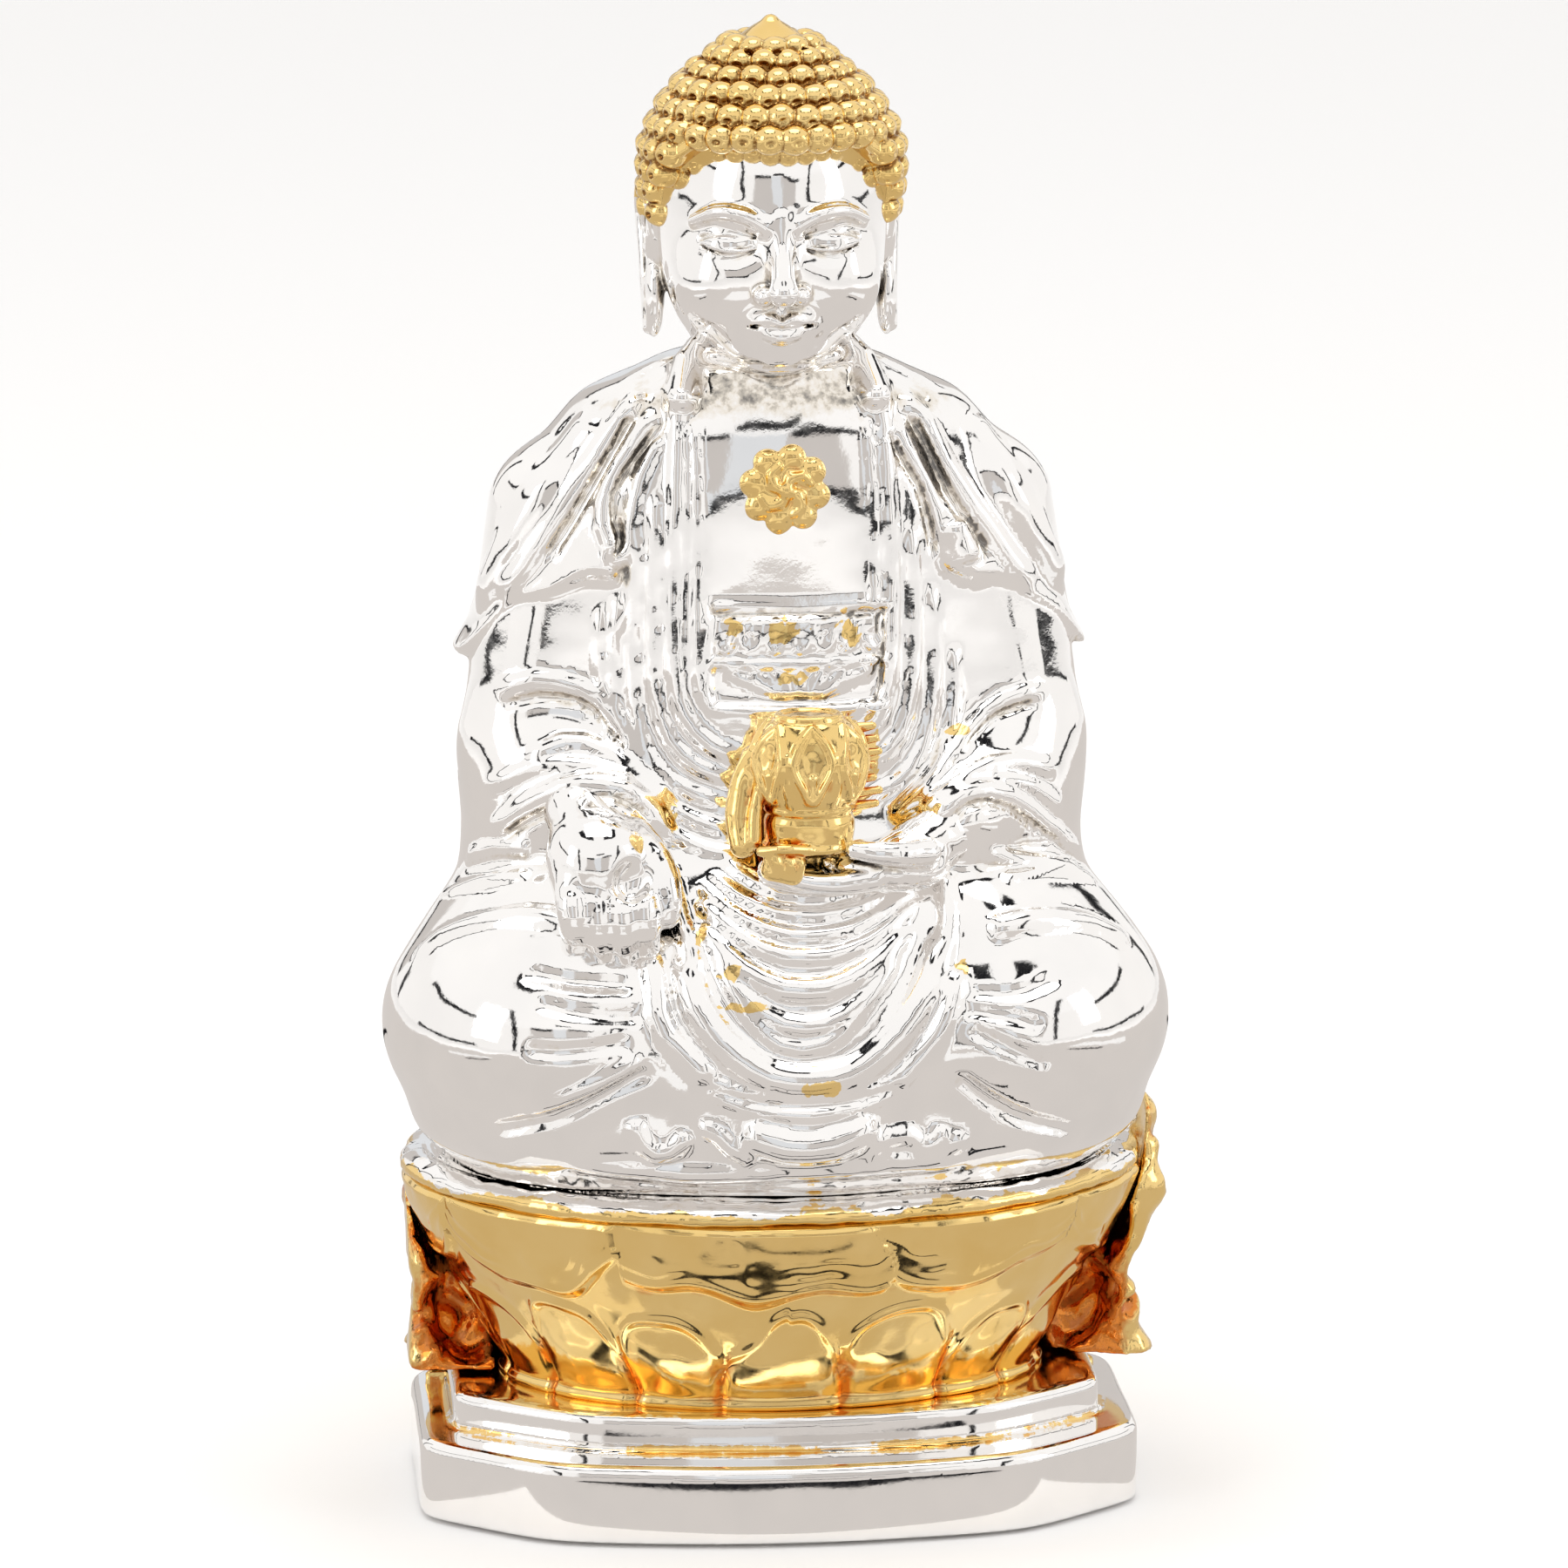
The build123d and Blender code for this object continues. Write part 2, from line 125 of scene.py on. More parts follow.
def spline(rows, n):
    """Catmull-Rom through the rows, resampled to n points evenly by length"""
    R = np.array(rows, float)
    if len(R) == 2:
        t = np.linspace(0, 1, n)[:, None]
        return R[0] * (1 - t) + R[1] * t
    E = np.vstack([2 * R[0] - R[1], R, 2 * R[-1] - R[-2]])
    out = []
    for i in range(len(R) - 1):
        p0, p1, p2, p3 = E[i:i + 4]
        for t in np.linspace(0, 1, 12, endpoint=False):
            out.append(0.5 * (2 * p1 + (p2 - p0) * t + (2 * p0 - 5 * p1 + 4 * p2 - p3) * t * t + (3 * p1 - p0 - 3 * p2 + p3) * t ** 3))
    out.append(R[-1])
    out = np.array(out)
    s = np.r_[0, np.cumsum(np.sqrt(((out[1:] - out[:-1]) ** 2).sum(1)))]
    u = np.linspace(0, s[-1], n)
    return np.stack([np.interp(u, s, out[:, k]) for k in range(out.shape[1])], 1)


def column(rows):
    """smooth table of a column of elliptical sections: z, a, b, cy, cx"""
    R = np.array([list(r) + [0.0] * (5 - len(r)) for r in rows], float)
    z = R[:, 0]
    m = np.zeros_like(R)
    m[1:-1] = (R[2:] - R[:-2]) / (z[2:] - z[:-2])[:, None]
    m[0] = (R[1] - R[0]) / (z[1] - z[0])
    m[-1] = (R[-1] - R[-2]) / (z[-1] - z[-2])
    zz = np.linspace(z[0], z[-1], 240)
    i = np.clip(np.searchsorted(z, zz) - 1, 0, len(z) - 2)
    h = (z[i + 1] - z[i])[:, None]
    t = ((zz - z[i]) / (z[i + 1] - z[i]))[:, None]
    V = (2 * t ** 3 - 3 * t ** 2 + 1) * R[i] + (t ** 3 - 2 * t ** 2 + t) * h * m[i] + (3 * t ** 2 - 2 * t ** 3) * R[i + 1] + (t ** 3 - t ** 2) * h * m[i + 1]
    V[:, 0] = zz
    return V


def col(P, T, n=2.0, k=1.0):
    """elliptical column; n is the section's squareness and k rounds its ends"""
    z = P[:, 2]
    a, b, cy, cx = (np.interp(z, T[:, 0], T[:, i]) for i in (1, 2, 3, 4))
    x, y = np.abs(P[:, 0] - cx), np.abs(P[:, 1] - cy)
    k0 = ((x / a) ** n + (y / b) ** n) ** (1 / n) + 1e-9
    g = np.sqrt((x ** (n - 1) / a ** n) ** 2 + (y ** (n - 1) / b ** n) ** 2) * k0 ** (1 - n) + 1e-9
    # slope of the wall
    da = np.gradient(T[:, 1], T[:, 0])
    sl = np.interp(z, T[:, 0], da)
    side = (k0 - 1) / g / np.sqrt(1 + np.clip(sl, -3, 3) ** 2)
    ends = np.maximum(T[0, 0] - z, z - T[-1, 0])
    return smax(side, ends, k)


_lat = np.random.default_rng(7).uniform(-1, 1, (32, 32, 32))


def noise(P, size, seed=0):
    Q = P / size + np.array([seed * 7.31, seed * 3.77, seed * 5.13])
    i = np.floor(Q).astype(int)
    f = Q - i
    f = f * f * (3 - 2 * f)
    out = 0
    for a in (0, 1):
        for b in (0, 1):
            for c in (0, 1):
                w = (f[:, 0] if a else 1 - f[:, 0]) * (f[:, 1] if b else 1 - f[:, 1]) * (f[:, 2] if c else 1 - f[:, 2])
                out = out + w * _lat[(i[:, 0] + a) % 32, (i[:, 1] + b) % 32, (i[:, 2] + c) % 32]
    return out


def step(x, a, b):
    t = np.clip((x - a) / (b - a), 0, 1)
    return t * t * (3 - 2 * t)


class Field:
    """A list of operations on a distance field, each skipped where its box is far away."""

    def __init__(self, far=30.0):
        self.ops, self.far = [], far

    def put(self, how, fn, lo=None, hi=None, k=0.0, pad=None):
        pad = (k + 1.5) if pad is None else pad
        if lo is not None:
            lo, hi = np.array(lo, float) - pad, np.array(hi, float) + pad
        self.ops.append((how, fn, lo, hi, k))

    def around(self, how, fn, pts, r, k=0.0):
        pts = np.array(pts, float).reshape(-1, 3)
        self.put(how, fn, pts.min(0) - r, pts.max(0) + r, k)

    # shorthands
    def ell(self, how, c, r, R=None, k=1.0):
        m = max(r)
        self.around(how, lambda P: ell(P, c, r, R), [c], m, k)

    def cone(self, how, a, b, ra, rb, k=1.0):
        self.around(how, lambda P: cone(P, a, b, ra, rb), [a, b], max(ra, rb), k)

    def tube(self, how, pts, r, k=0.6, n=None):
        Q = spline([p[:3] for p in pts], n or max(8, 3 * len(pts)))
        rr = np.interp(np.linspace(0, 1, 24), np.linspace(0, 1, len(np.atleast_1d(r))) if np.ndim(r) else [0, 1], r if np.ndim(r) else [r, r])
        tt = np.linspace(0, 1, 24)

        def fn(P):
            d, t, _, _ = seg(P, Q)
            return d - np.interp(t, tt, rr)
        self.around(how, fn, Q, float(rr.max()), k)

    def ridge(self, pts, w, h, taper=0.12, kind="r"):
        """raises (h > 0) or cuts (h < 0) the surface along a line that lies on it"""
        Q = np.array(pts, float)
        pd = w + abs(h) + 0.6

        def fn(P):
            d, t, _, _ = seg(P, Q)
            e = np.clip(d / w, 0, 1)
            prof = (1 - e * e) ** 2 if kind == "r" else (1 - e) ** 1.5
            end = step(t, 0, taper) * step(1 - t, 0, taper) if taper else 1.0
            return h * prof * end
        self.ops.append(("disp", fn, Q.min(0) - pd, Q.max(0) + pd, 0))

    def ledge(self, pts, w, h, side, taper=0.08):
        """one layer of cloth ending over another: high on one side of the line, a sharp drop on the other"""
        Q = np.array(pts, float)
        sv = np.array(side, float)
        pd = w + abs(h) + 0.6

        def fn(P):
            d, t, E, D = seg(P, Q)
            s = np.sign(E @ sv) * d
            prof = np.where(s > 0, np.exp(-(s / (0.45 * w)) ** 2), step(s, -0.18 * w, 0.0))
            prof = prof * (d < w)
            end = step(t, 0, taper) * step(1 - t, 0, taper) if taper else 1.0
            return h * prof * end
        self.ops.append(("disp", fn, Q.min(0) - pd, Q.max(0) + pd, 0))

    def __call__(self, P, upto=None):
        P = np.asarray(P, np.float32)
        lo, hi = P.min(0), P.max(0)
        d = np.full(len(P), self.far, np.float32)
        for how, fn, a, b, k in self.ops[:upto]:
            if a is not None and (np.any(hi < a) or np.any(lo > b)):
                continue
            if a is not None:
                near = np.all((P > a) & (P < b), 1)
                if how == "disp":
                    near &= np.abs(d) < 4.0
                ix = np.nonzero(near)[0]
                if not len(ix):
                    continue
            else:
                ix = slice(None)
            v = fn(P[ix])
            if how == "u":
                d[ix] = smin(d[ix], v, k)
            elif how == "s":
                d[ix] = smax(d[ix], -v, k)
            elif how == "i":
                d[ix] = smax(d[ix], v, k)
            elif how == "disp":
                d[ix] = d[ix] - v
        return d


def normals_of(f, V, e=0.12):
    g = np.zeros_like(V)
    for a in range(3):
        o = np.zeros(3)
        o[a] = e
        g[:, a] = f(V + o) - f(V - o)
    return g / np.maximum(np.linalg.norm(g, axis=1, keepdims=True), 1e-9)


def chunks(f, V, n=6000):
    """evaluate in spatially tight batches so that far operations are skipped"""
    out = np.empty(len(V))
    key = np.floor(V / 6.0).astype(np.int64)
    o = np.lexsort((key[:, 2], key[:, 1], key[:, 0]))
    ks = key[o]
    cut = np.nonzero(np.any(ks[1:] != ks[:-1], axis=1))[0] + 1
    parts = np.split(o, cut)
    with ThreadPoolExecutor(4) as ex:
        for ix, v in zip(parts, ex.map(lambda ix: f(V[ix]), parts)):
            out[ix] = v
    return out


def nets(f, lo, hi, h, margin=1.5, B=18):
    lo, hi = np.array(lo, float) - 2 * h, np.array(hi, float) + 2 * h
    nb = np.ceil((hi - lo) / (B * h)).astype(int)
    n = nb * B + 1
    vals = np.ones(n, np.float32)
    I = np.stack(np.meshgrid(*[np.arange(m) for m in nb], indexing="ij"), -1).reshape(-1, 3)
    C = lo + (I * B + B / 2) * h
    dc = f(C)
    act = np.abs(dc) < h * B / 2 * 1.75 * 1.25 + margin
    for (i, j, k), v in zip(I[~act], dc[~act]):
        if v < 0:
            vals[i * B:i * B + B + 1, j * B:j * B + B + 1, k * B:k * B + B + 1] = -1
    g = np.arange(B + 1)
    G = np.stack(np.meshgrid(g, g, g, indexing="ij"), -1).reshape(-1, 3)

    def block(c):
        return f(lo + (G + c * B) * h).reshape(B + 1, B + 1, B + 1)
    with ThreadPoolExecutor(4) as ex:
        for (i, j, k), v in zip(I[act], ex.map(block, I[act])):
            vals[i * B:i * B + B + 1, j * B:j * B + B + 1, k * B:k * B + B + 1] = v
    ins = vals < 0
    # active cells
    c = [ins[a:n[0] - 1 + a, b:n[1] - 1 + b, e:n[2] - 1 + e] for a in (0, 1) for b in (0, 1) for e in (0, 1)]
    s = sum(x.astype(np.int8) for x in c)
    cell = np.argwhere((s > 0) & (s < 8))
    idx = -np.ones((n[0] - 1, n[1] - 1, n[2] - 1), np.int32)
    idx[cell[:, 0], cell[:, 1], cell[:, 2]] = np.arange(len(cell))
    cor = np.array([(a, b, e) for a in (0, 1) for b in (0, 1) for e in (0, 1)])
    cv = np.stack([vals[cell[:, 0] + a, cell[:, 1] + b, cell[:, 2] + e] for a, b, e in cor], 1)
    acc = np.zeros((len(cell), 3))
    cnt = np.zeros(len(cell))
    for p in range(8):
        for q in range(p + 1, 8):
            if np.abs(cor[p] - cor[q]).sum() != 1:
                continue
            m = (cv[:, p] < 0) != (cv[:, q] < 0)
            t = np.where(m, cv[:, p] / np.where(m, cv[:, p] - cv[:, q], 1), 0)[:, None]
            acc += np.where(m[:, None], cor[p] + (cor[q] - cor[p]) * t, 0)
            cnt += m
    V = lo + (cell + acc / cnt[:, None]) * h
    F = []
    for ax in range(3):
        o = [0, 0, 0]
        o[ax] = 1
        A = ins[:n[0] - o[0], :n[1] - o[1], :n[2] - o[2]]
        Bb = ins[o[0]:, o[1]:, o[2]:]
        e = np.argwhere(A != Bb)
        b1, b2 = [a for a in range(3) if a != ax]
        ok = (e[:, b1] > 0) & (e[:, b2] > 0) & (e[:, b1] < n[b1] - 1) & (e[:, b2] < n[b2] - 1)
        e = e[ok]
        sgn = A[e[:, 0], e[:, 1], e[:, 2]]
        d1 = np.zeros(3, int)
        d1[b1] = 1
        d2 = np.zeros(3, int)
        d2[b2] = 1
        q = [e - d1 - d2, e - d2, e, e - d1]
        Q = np.stack([idx[x[:, 0], x[:, 1], x[:, 2]] for x in q], 1)
        flip = sgn if ax != 1 else ~sgn
        Q[~flip] = Q[~flip][:, ::-1]
        F.append(Q)
    F = np.concatenate(F)
    return V, F[np.all(F >= 0, 1)]


def sculpt_mesh(f, lo, hi, h, snap=2):
    V, F = nets(f, lo, hi, h)
    e = 0.3 * h
    d = chunks(f, V)
    g = np.stack([chunks(f, V + np.eye(3)[a] * e) - d for a in range(3)], 1) / e
    g2 = np.maximum((g * g).sum(1), 0.25)
    V = V - np.clip(d / g2, -0.5 * h, 0.5 * h)[:, None] * g
    for _ in range(snap - 1):
        d = chunks(f, V)
        V = V - np.clip(d / g2, -0.3 * h, 0.3 * h)[:, None] * g
    N = g / np.maximum(np.linalg.norm(g, axis=1, keepdims=True), 1e-9)
    return V, F, N


# how enclosed each point is, read from the field one radius out along its normal; the materials paint shade from it
def occlusion_shade(f, V, N, r):
    return np.clip((r - chunks(f, V + N * r)) / r, 0, 1)

# ---------------------------------------------------------------- robed body
TORSO = column([(56, 25, 16, 1), (68, 28.4, 15.2, 1), (78, 28.6, 14.8, 1), (86, 28.4, 14.2, 1.1), (95, 27.2, 13.8, 1), (102, 25.2, 13.2, .8),
                (108, 22.0, 12.0, .4), (112.2, 18.4, 10.3, 0), (114.6, 13.2, 8.8, -.4), (116.4, 9.4, 8.0, -.6)])
SEAT = column([(35.3, 34.0, 23.6, -.5), (38, 35.2, 24.4, -1), (43, 36.2, 25.0, -1.2), (49.5, 36.4, 25.0, -1.2), (55, 35.4, 24.0, -.8), (60, 33.0, 22.0, -.4),
               (65, 30.4, 19.4, .2), (70, 27.4, 16.4, .8), (76, 24, 13, 1.2)])
CAPE = column([(82, 31.6, 15.6, .6), (86.6, 31.0, 15.3, .7), (90, 30.1, 15.0, .8), (95, 28.3, 14.6, .8), (102.5, 25.4, 13.7, .7),
               (108, 22.3, 12.3, .4), (112.2, 18.8, 10.6, 0), (114.8, 13.4, 9.0, -.4), (116.4, 9.8, 8.2, -.6)])


def hem_z(P):
    """height of the cape's lower edge: low at the sides and back, high in front"""
    return 86.4 + 9.6 * step(-P[:, 1], 1.0, 12.0) - 0.8 * step(P[:, 1], 2, 12) + 0.35 * np.sin(P[:, 0] * 0.9)


def body_base():
    f = Field()
    f.put("u", lambda P: col(P, TORSO, 2.15, 1.0), (-30, -17, 55), (30, 18, 118))
    f.put("u", lambda P: col(P, SEAT, 2.15, 1.6), (-38, -28, 34), (38, 26, 78), k=4.0)
    for s in (-1, 1):
        # knees, shins tucked under them, and the thigh's cloth above
        f.ell("u", (s * 23.0, -8.2, 50.2), (16.4, 18.6, 13.6), rot(0, 0, -s * 12), k=3.0)
        f.ell("u", (s * 21.5, -5.0, 60.5), (12.8, 15.5, 7.6), rot(0, s * 24, 0), k=4.0)
        f.ell("u", (s * 18.0, -9.5, 41.5), (18.0, 15.0, 6.2), rot(0, 0, -s * 8), k=3.0)
        # upper arm and forearm inside wide sleeves
        f.cone("u", (s * 21.6, -1.0, 101), (s * 24.2, -3.0, 79), 6.6, 6.7, k=3.5)
        f.cone("u", (s * 24.0, -3.2, 77), (s * 17.5, -12.5, 71.2), 6.6, 5.4, k=3.0)
        f.ell("u", (s * 25.2, -2.0, 70.5), (5.6, 9.5, 9.0), None, k=4.0)
    # belly and chest
    f.ell("u", (0.5, -4.6, 84), (15.5, 9.2, 16), None, k=4.0)
    f.ell("u", (1.5, -8.0, 57.0), (12.0, 14.5, 12.5), None, k=4.5)
    f.ell("u", (1.5, -8.5, 42.5), (14.0, 18.6, 7.0), None, k=4.0)
    return f


def cape_shell(f):
    def fn(P):
        d = col(P, CAPE, 2.2, 1.0)
        x, y, z = P[:, 0], P[:, 1], P[:, 2]
        d = d - 0.9 * step(-z + hem_z(P), -4.0, 0.5) * step(np.abs(x), 18, 29)   # the hem curls outward
        d = smax(d, hem_z(P) - z, 0.7)
        # open in front, over the neckline strips
        return smax(d, (np.abs(x - 0.5) * -1.0 + 16.5 - 2.0 * step(z, 96, 112)) * step(-y, 0, 4) + (1 - step(-y, 0, 4)) * -9.0, 1.2)
    f.put("u", fn, (-33, -18, 81), (33, 18, 118), k=0.8)

# lines of the cloth folds: (points in mm, half width, height)
FOLDS = [
    ([(-8.3, -9.1, 112.7), (-8.3, -10, 110.8), (-8.3, -10.7, 108.9), (-8.2, -11.1, 106.9), (-8.2, -11.5, 104.9), (-8.2, -11.7, 102.8), (-8.2, -12, 100.8), (-8.2, -12.1, 98.7), (-8.2, -12.3, 96.7), (-8.2, -12.5, 94.7), (-8.3, -12.7, 92.6), (-8.3, -13, 90.6), (-8.3, -13.2, 88.6), (-8.3, -13.4, 86.5), (-8, -13.6, 84.5), (-6.8, -13.9, 82.9), (-5, -14.2, 81.9)], 0.75, 0.5),
    ([(-10.7, -6, 114.5), (-10.2, -8.3, 112.9), (-9.9, -9.5, 111), (-10, -10.2, 109.1), (-10.1, -10.7, 107), (-10.2, -11.1, 105), (-10.2, -11.4, 102.9), (-10.4, -11.6, 100.9), (-10.5, -11.7, 98.8), (-10.5, -11.8, 96.7), (-10.6, -12, 94.6), (-10.7, -12.2, 92.5), (-10.7, -12.4, 90.5), (-10.7, -12.6, 88.4), (-10.6, -12.8, 86.3), (-10.3, -13, 84.2), (-9.7, -13.3, 82.3), (-8.6, -13.6, 80.6), (-7, -14, 79.2), (-5.2, -14.3, 78.3), (-3.2, -14.6, 77.9)], 1.2, 0.85),
    ([(-12.3, -10.6, 104.5), (-12.3, -10.9, 102.5), (-12.3, -11.2, 100.4), (-12.3, -11.4, 98.3), (-12.4, -11.5, 96.2), (-12.5, -11.6, 94.1), (-12.6, -11.7, 92), (-12.6, -11.9, 89.9), (-12.6, -12.1, 87.8), (-12.6, -12.2, 85.7), (-12.3, -12.5, 83.6), (-11.8, -12.7, 81.6), (-11, -13, 79.7), (-9.7, -13.5, 78.1), (-8.1, -13.9, 76.9), (-6.2, -14.2, 76.1), (-4.2, -14.4, 75.4)], 1.05, 0.75),
    ([(-13.9, -10.7, 101.1), (-14.1, -10.8, 99.1), (-14.2, -10.9, 97), (-14.4, -11, 95), (-14.5, -11.1, 92.9), (-14.5, -11.2, 90.8), (-14.6, -11.3, 88.8), (-14.6, -11.5, 86.7), (-14.6, -11.6, 84.7), (-14.4, -11.8, 82.6), (-14, -12.1, 80.6), (-13.3, -12.5, 78.8), (-12.3, -13, 77.1), (-10.9, -13.4, 75.6), (-9.2, -13.9, 74.6), (-7.3, -14.3, 73.9), (-5.4, -14.7, 73.2)], 1, 0.7),
    ([(-15.8, -10.7, 94.1), (-16, -10.7, 92.1), (-16.3, -10.7, 90.1), (-16.4, -10.7, 88), (-16.5, -10.9, 86), (-16.4, -11, 83.9), (-16.1, -11.3, 81.9), (-15.7, -11.6, 80), (-15.1, -12.4, 78.1), (-14.3, -13.3, 76.4), (-13.2, -14.1, 74.9), (-11.7, -14.2, 73.5), (-10, -14.3, 72.4), (-8.2, -14.8, 71.6), (-6.3, -15.3, 71), (-4.3, -15.6, 70.7)], 1, 0.7),
    ([(-17.6, -10.1, 93.2), (-17.7, -10.2, 91.1), (-17.8, -10.2, 89), (-17.8, -10.3, 86.9), (-17.6, -10.5, 84.8), (-17.4, -10.8, 82.8), (-17, -11.2, 80.8), (-16.6, -11.9, 78.9), (-16, -13.2, 77.1), (-15.3, -14.9, 75.5), (-14.3, -15.9, 73.9), (-12.9, -15.5, 72.3), (-11.2, -15, 70.8), (-9.4, -15.4, 69.8), (-7.6, -16, 69.1), (-5.6, -16.5, 68.8), (-3.6, -17, 68.6)], 0.9, 0.55),
    ([(8.7, -9.1, 112.5), (8.8, -10, 110.6), (8.9, -10.6, 108.6), (9, -11, 106.6), (9.2, -11.4, 104.6), (9.2, -11.6, 102.5), (9.3, -11.8, 100.5), (9.3, -12, 98.4), (9.3, -12.1, 96.4), (9.3, -12.4, 94.3), (9.2, -12.7, 92.3), (9.1, -13, 90.2), (9.1, -13.2, 88.2), (8.9, -13.4, 86.1), (8.5, -13.7, 84.1), (7.2, -14, 82.6), (5.3, -14.3, 81.9)], 0.75, 0.5),
    ([(9.7, -7, 114.4), (10, -8.6, 112.7), (10.3, -9.5, 110.8), (10.5, -10.1, 108.9), (10.6, -10.6, 106.9), (10.7, -11, 104.9), (10.8, -11.2, 102.9), (10.9, -11.5, 100.9), (10.9, -11.6, 98.9), (11, -11.8, 96.9), (11, -11.9, 94.8), (11, -12.2, 92.8), (10.9, -12.5, 90.8), (10.9, -12.7, 88.8), (10.8, -12.9, 86.8), (10.6, -13.1, 84.8), (10, -13.3, 82.8), (9.1, -13.6, 81.1), (7.5, -14, 79.8)], 1.2, 0.85),
    ([(12.9, -11, 100.7), (13.1, -11.1, 98.6), (13.2, -11.3, 96.5), (13.3, -11.4, 94.4), (13.3, -11.6, 92.3), (13.3, -11.8, 90.1), (13.3, -12, 88), (13.2, -12.2, 85.9), (13, -12.4, 83.8), (12.6, -12.6, 81.8), (11.8, -12.9, 79.8), (10.5, -13.4, 78.2), (8.8, -13.8, 77)], 1.05, 0.75),
    ([(15, -10.9, 94.6), (15.2, -10.9, 92.5), (15.4, -11, 90.4), (15.5, -11.1, 88.3), (15.5, -11.3, 86.2), (15.4, -11.5, 84.1), (15.1, -11.7, 82), (14.7, -12, 80), (14, -12.5, 78.1), (12.9, -13.1, 76.4), (11.4, -13.5, 75), (9.5, -13.9, 74.1), (7.5, -14.4, 73.6)], 1, 0.7),
    ([(17.5, -10.4, 88.3), (17.5, -10.5, 86), (17.5, -10.7, 83.8), (17.3, -11, 81.6), (16.9, -11.6, 79.5), (16.2, -12.9, 77.5), (15.3, -14.6, 75.8), (14, -15.6, 74), (12.3, -15, 72.5), (10.5, -14.7, 71.3)], 1, 0.7),
    ([(-12.8, -5.9, 113.7), (-14.2, -7.3, 112.2), (-15.6, -7.8, 110.6), (-16.8, -7.9, 108.9), (-18.1, -8, 107.1), (-19.3, -8, 105.4), (-20.4, -8.2, 103.6), (-21.5, -8.3, 101.7), (-22.7, -8.2, 99.9), (-23.9, -8, 98.1), (-25.1, -7.7, 96.2), (-26.4, -7.1, 94.4), (-27.7, -6.3, 92.6)], 1.5, 0.8),
    ([(-14.1, -7.5, 112), (-15.1, -8.3, 110.2), (-16.1, -8.6, 108.3), (-17.2, -8.8, 106.4), (-18.3, -8.9, 104.5), (-19.4, -8.9, 102.7), (-20.5, -8.8, 100.8), (-21.7, -8.7, 98.9), (-22.8, -8.6, 97)], 0.9, -0.9),
    ([(-12.1, -8.2, 112), (-13.3, -8.6, 110.2), (-14.5, -9.1, 108.5), (-15.7, -9.4, 106.8), (-16.7, -9.5, 104.9), (-17.4, -9.8, 102.9), (-17.5, -10.2, 100.9), (-16.7, -10.9, 98.9), (-16.8, -11.1, 96.9)], 1.1, 0.7),
    ([(-10.8, -9.2, 111.1), (-12.3, -9.4, 109.4), (-13.8, -9.4, 107.6), (-15.2, -9.8, 105.8), (-16.2, -10.1, 103.8), (-16.2, -10.5, 101.6), (-15.8, -10.6, 99.3), (-16.8, -11.1, 97.3)], 0.7, -0.7),
    ([(-11.5, -9.6, 109.6), (-12.6, -9.9, 107.5), (-13.6, -10.1, 105.4), (-14.1, -10.3, 103.1), (-14.5, -10.5, 100.8), (-14.9, -10.6, 98.5), (-15.8, -10.7, 96.3)], 1, 0.6),
    ([(-17.3, -5.8, 111.6), (-18.5, -6, 109.9), (-19.8, -6, 108.2), (-21, -6.3, 106.5), (-22.3, -6.9, 104.9), (-23.5, -7.2, 103.1), (-24.7, -7, 101.3), (-25.8, -6.6, 99.4), (-26.9, -6.1, 97.5), (-27.9, -5.3, 95.4), (-28.8, -4.2, 93.3), (-29.7, -2.3, 91)], 3, 0.8),
    ([(12, -6.8, 113.5), (13.4, -7.7, 111.9), (14.7, -8.1, 110.2), (15.7, -8.7, 108.3), (16.7, -9.1, 106.4), (17.9, -9.1, 104.5), (19.1, -9.1, 102.6), (20.4, -8.9, 100.7), (21.7, -8.7, 98.8), (23, -8.5, 96.9), (24.4, -8.2, 95.1), (25.9, -7.8, 93.3)], 1.5, 0.8),
    ([(12.9, -8.2, 111.4), (13.9, -8.7, 109.6), (14.9, -9, 107.7), (15.8, -9.4, 105.7), (16.7, -9.8, 103.8), (17.7, -9.9, 101.9), (18.9, -9.8, 100), (20.1, -9.6, 98.1), (20.6, -9.8, 96)], 0.9, -0.9),
    ([(11.3, -9.1, 110.9), (12.3, -9.6, 108.8), (13.4, -9.9, 106.6), (14.5, -10, 104.4), (15.4, -10, 102.1), (16.1, -10.1, 99.8), (16.5, -10.2, 97.3), (17.8, -10.3, 95.3)], 1.1, 0.7),
    ([(10, -9.7, 110.5), (11.3, -10, 108.5), (12.6, -10.2, 106.4), (13.9, -10.2, 104.3), (14.5, -10.3, 101.9), (15, -10.5, 99.5), (15.5, -10.5, 97.1)], 0.7, -0.7),
    ([(17.6, -10.2, 100.9), (17.9, -10.2, 100.1), (18.2, -10.2, 99.4), (18.4, -10.2, 98.7), (18.6, -10.3, 98), (18.8, -10.3, 97.2), (19, -10.4, 96.5)], 2.2, 0.9),
    ([(19.3, -4.1, 110.8), (20.3, -4.8, 109), (21.3, -5.6, 107.1), (22.3, -6.6, 105.3), (23.4, -7.1, 103.5), (24.6, -7.1, 101.5), (25.7, -6.7, 99.5), (26.9, -6.1, 97.4), (28.1, -5.1, 95.2), (29.3, -3, 92.7)], 3, 0.8),
    ([(-28.2, -7.7, 83.2), (-26.3, -8.7, 84.5), (-24.2, -9.4, 85.2), (-22, -9.7, 85), (-19.8, -10, 84.4), (-17.9, -10.6, 83.4), (-16.4, -11.2, 81.9), (-15.1, -11.8, 80.2), (-14, -12.4, 78.3), (-13, -13.1, 76.4), (-11.9, -13.7, 74.6), (-10.6, -14.2, 72.8)], 1.3, 0.9),
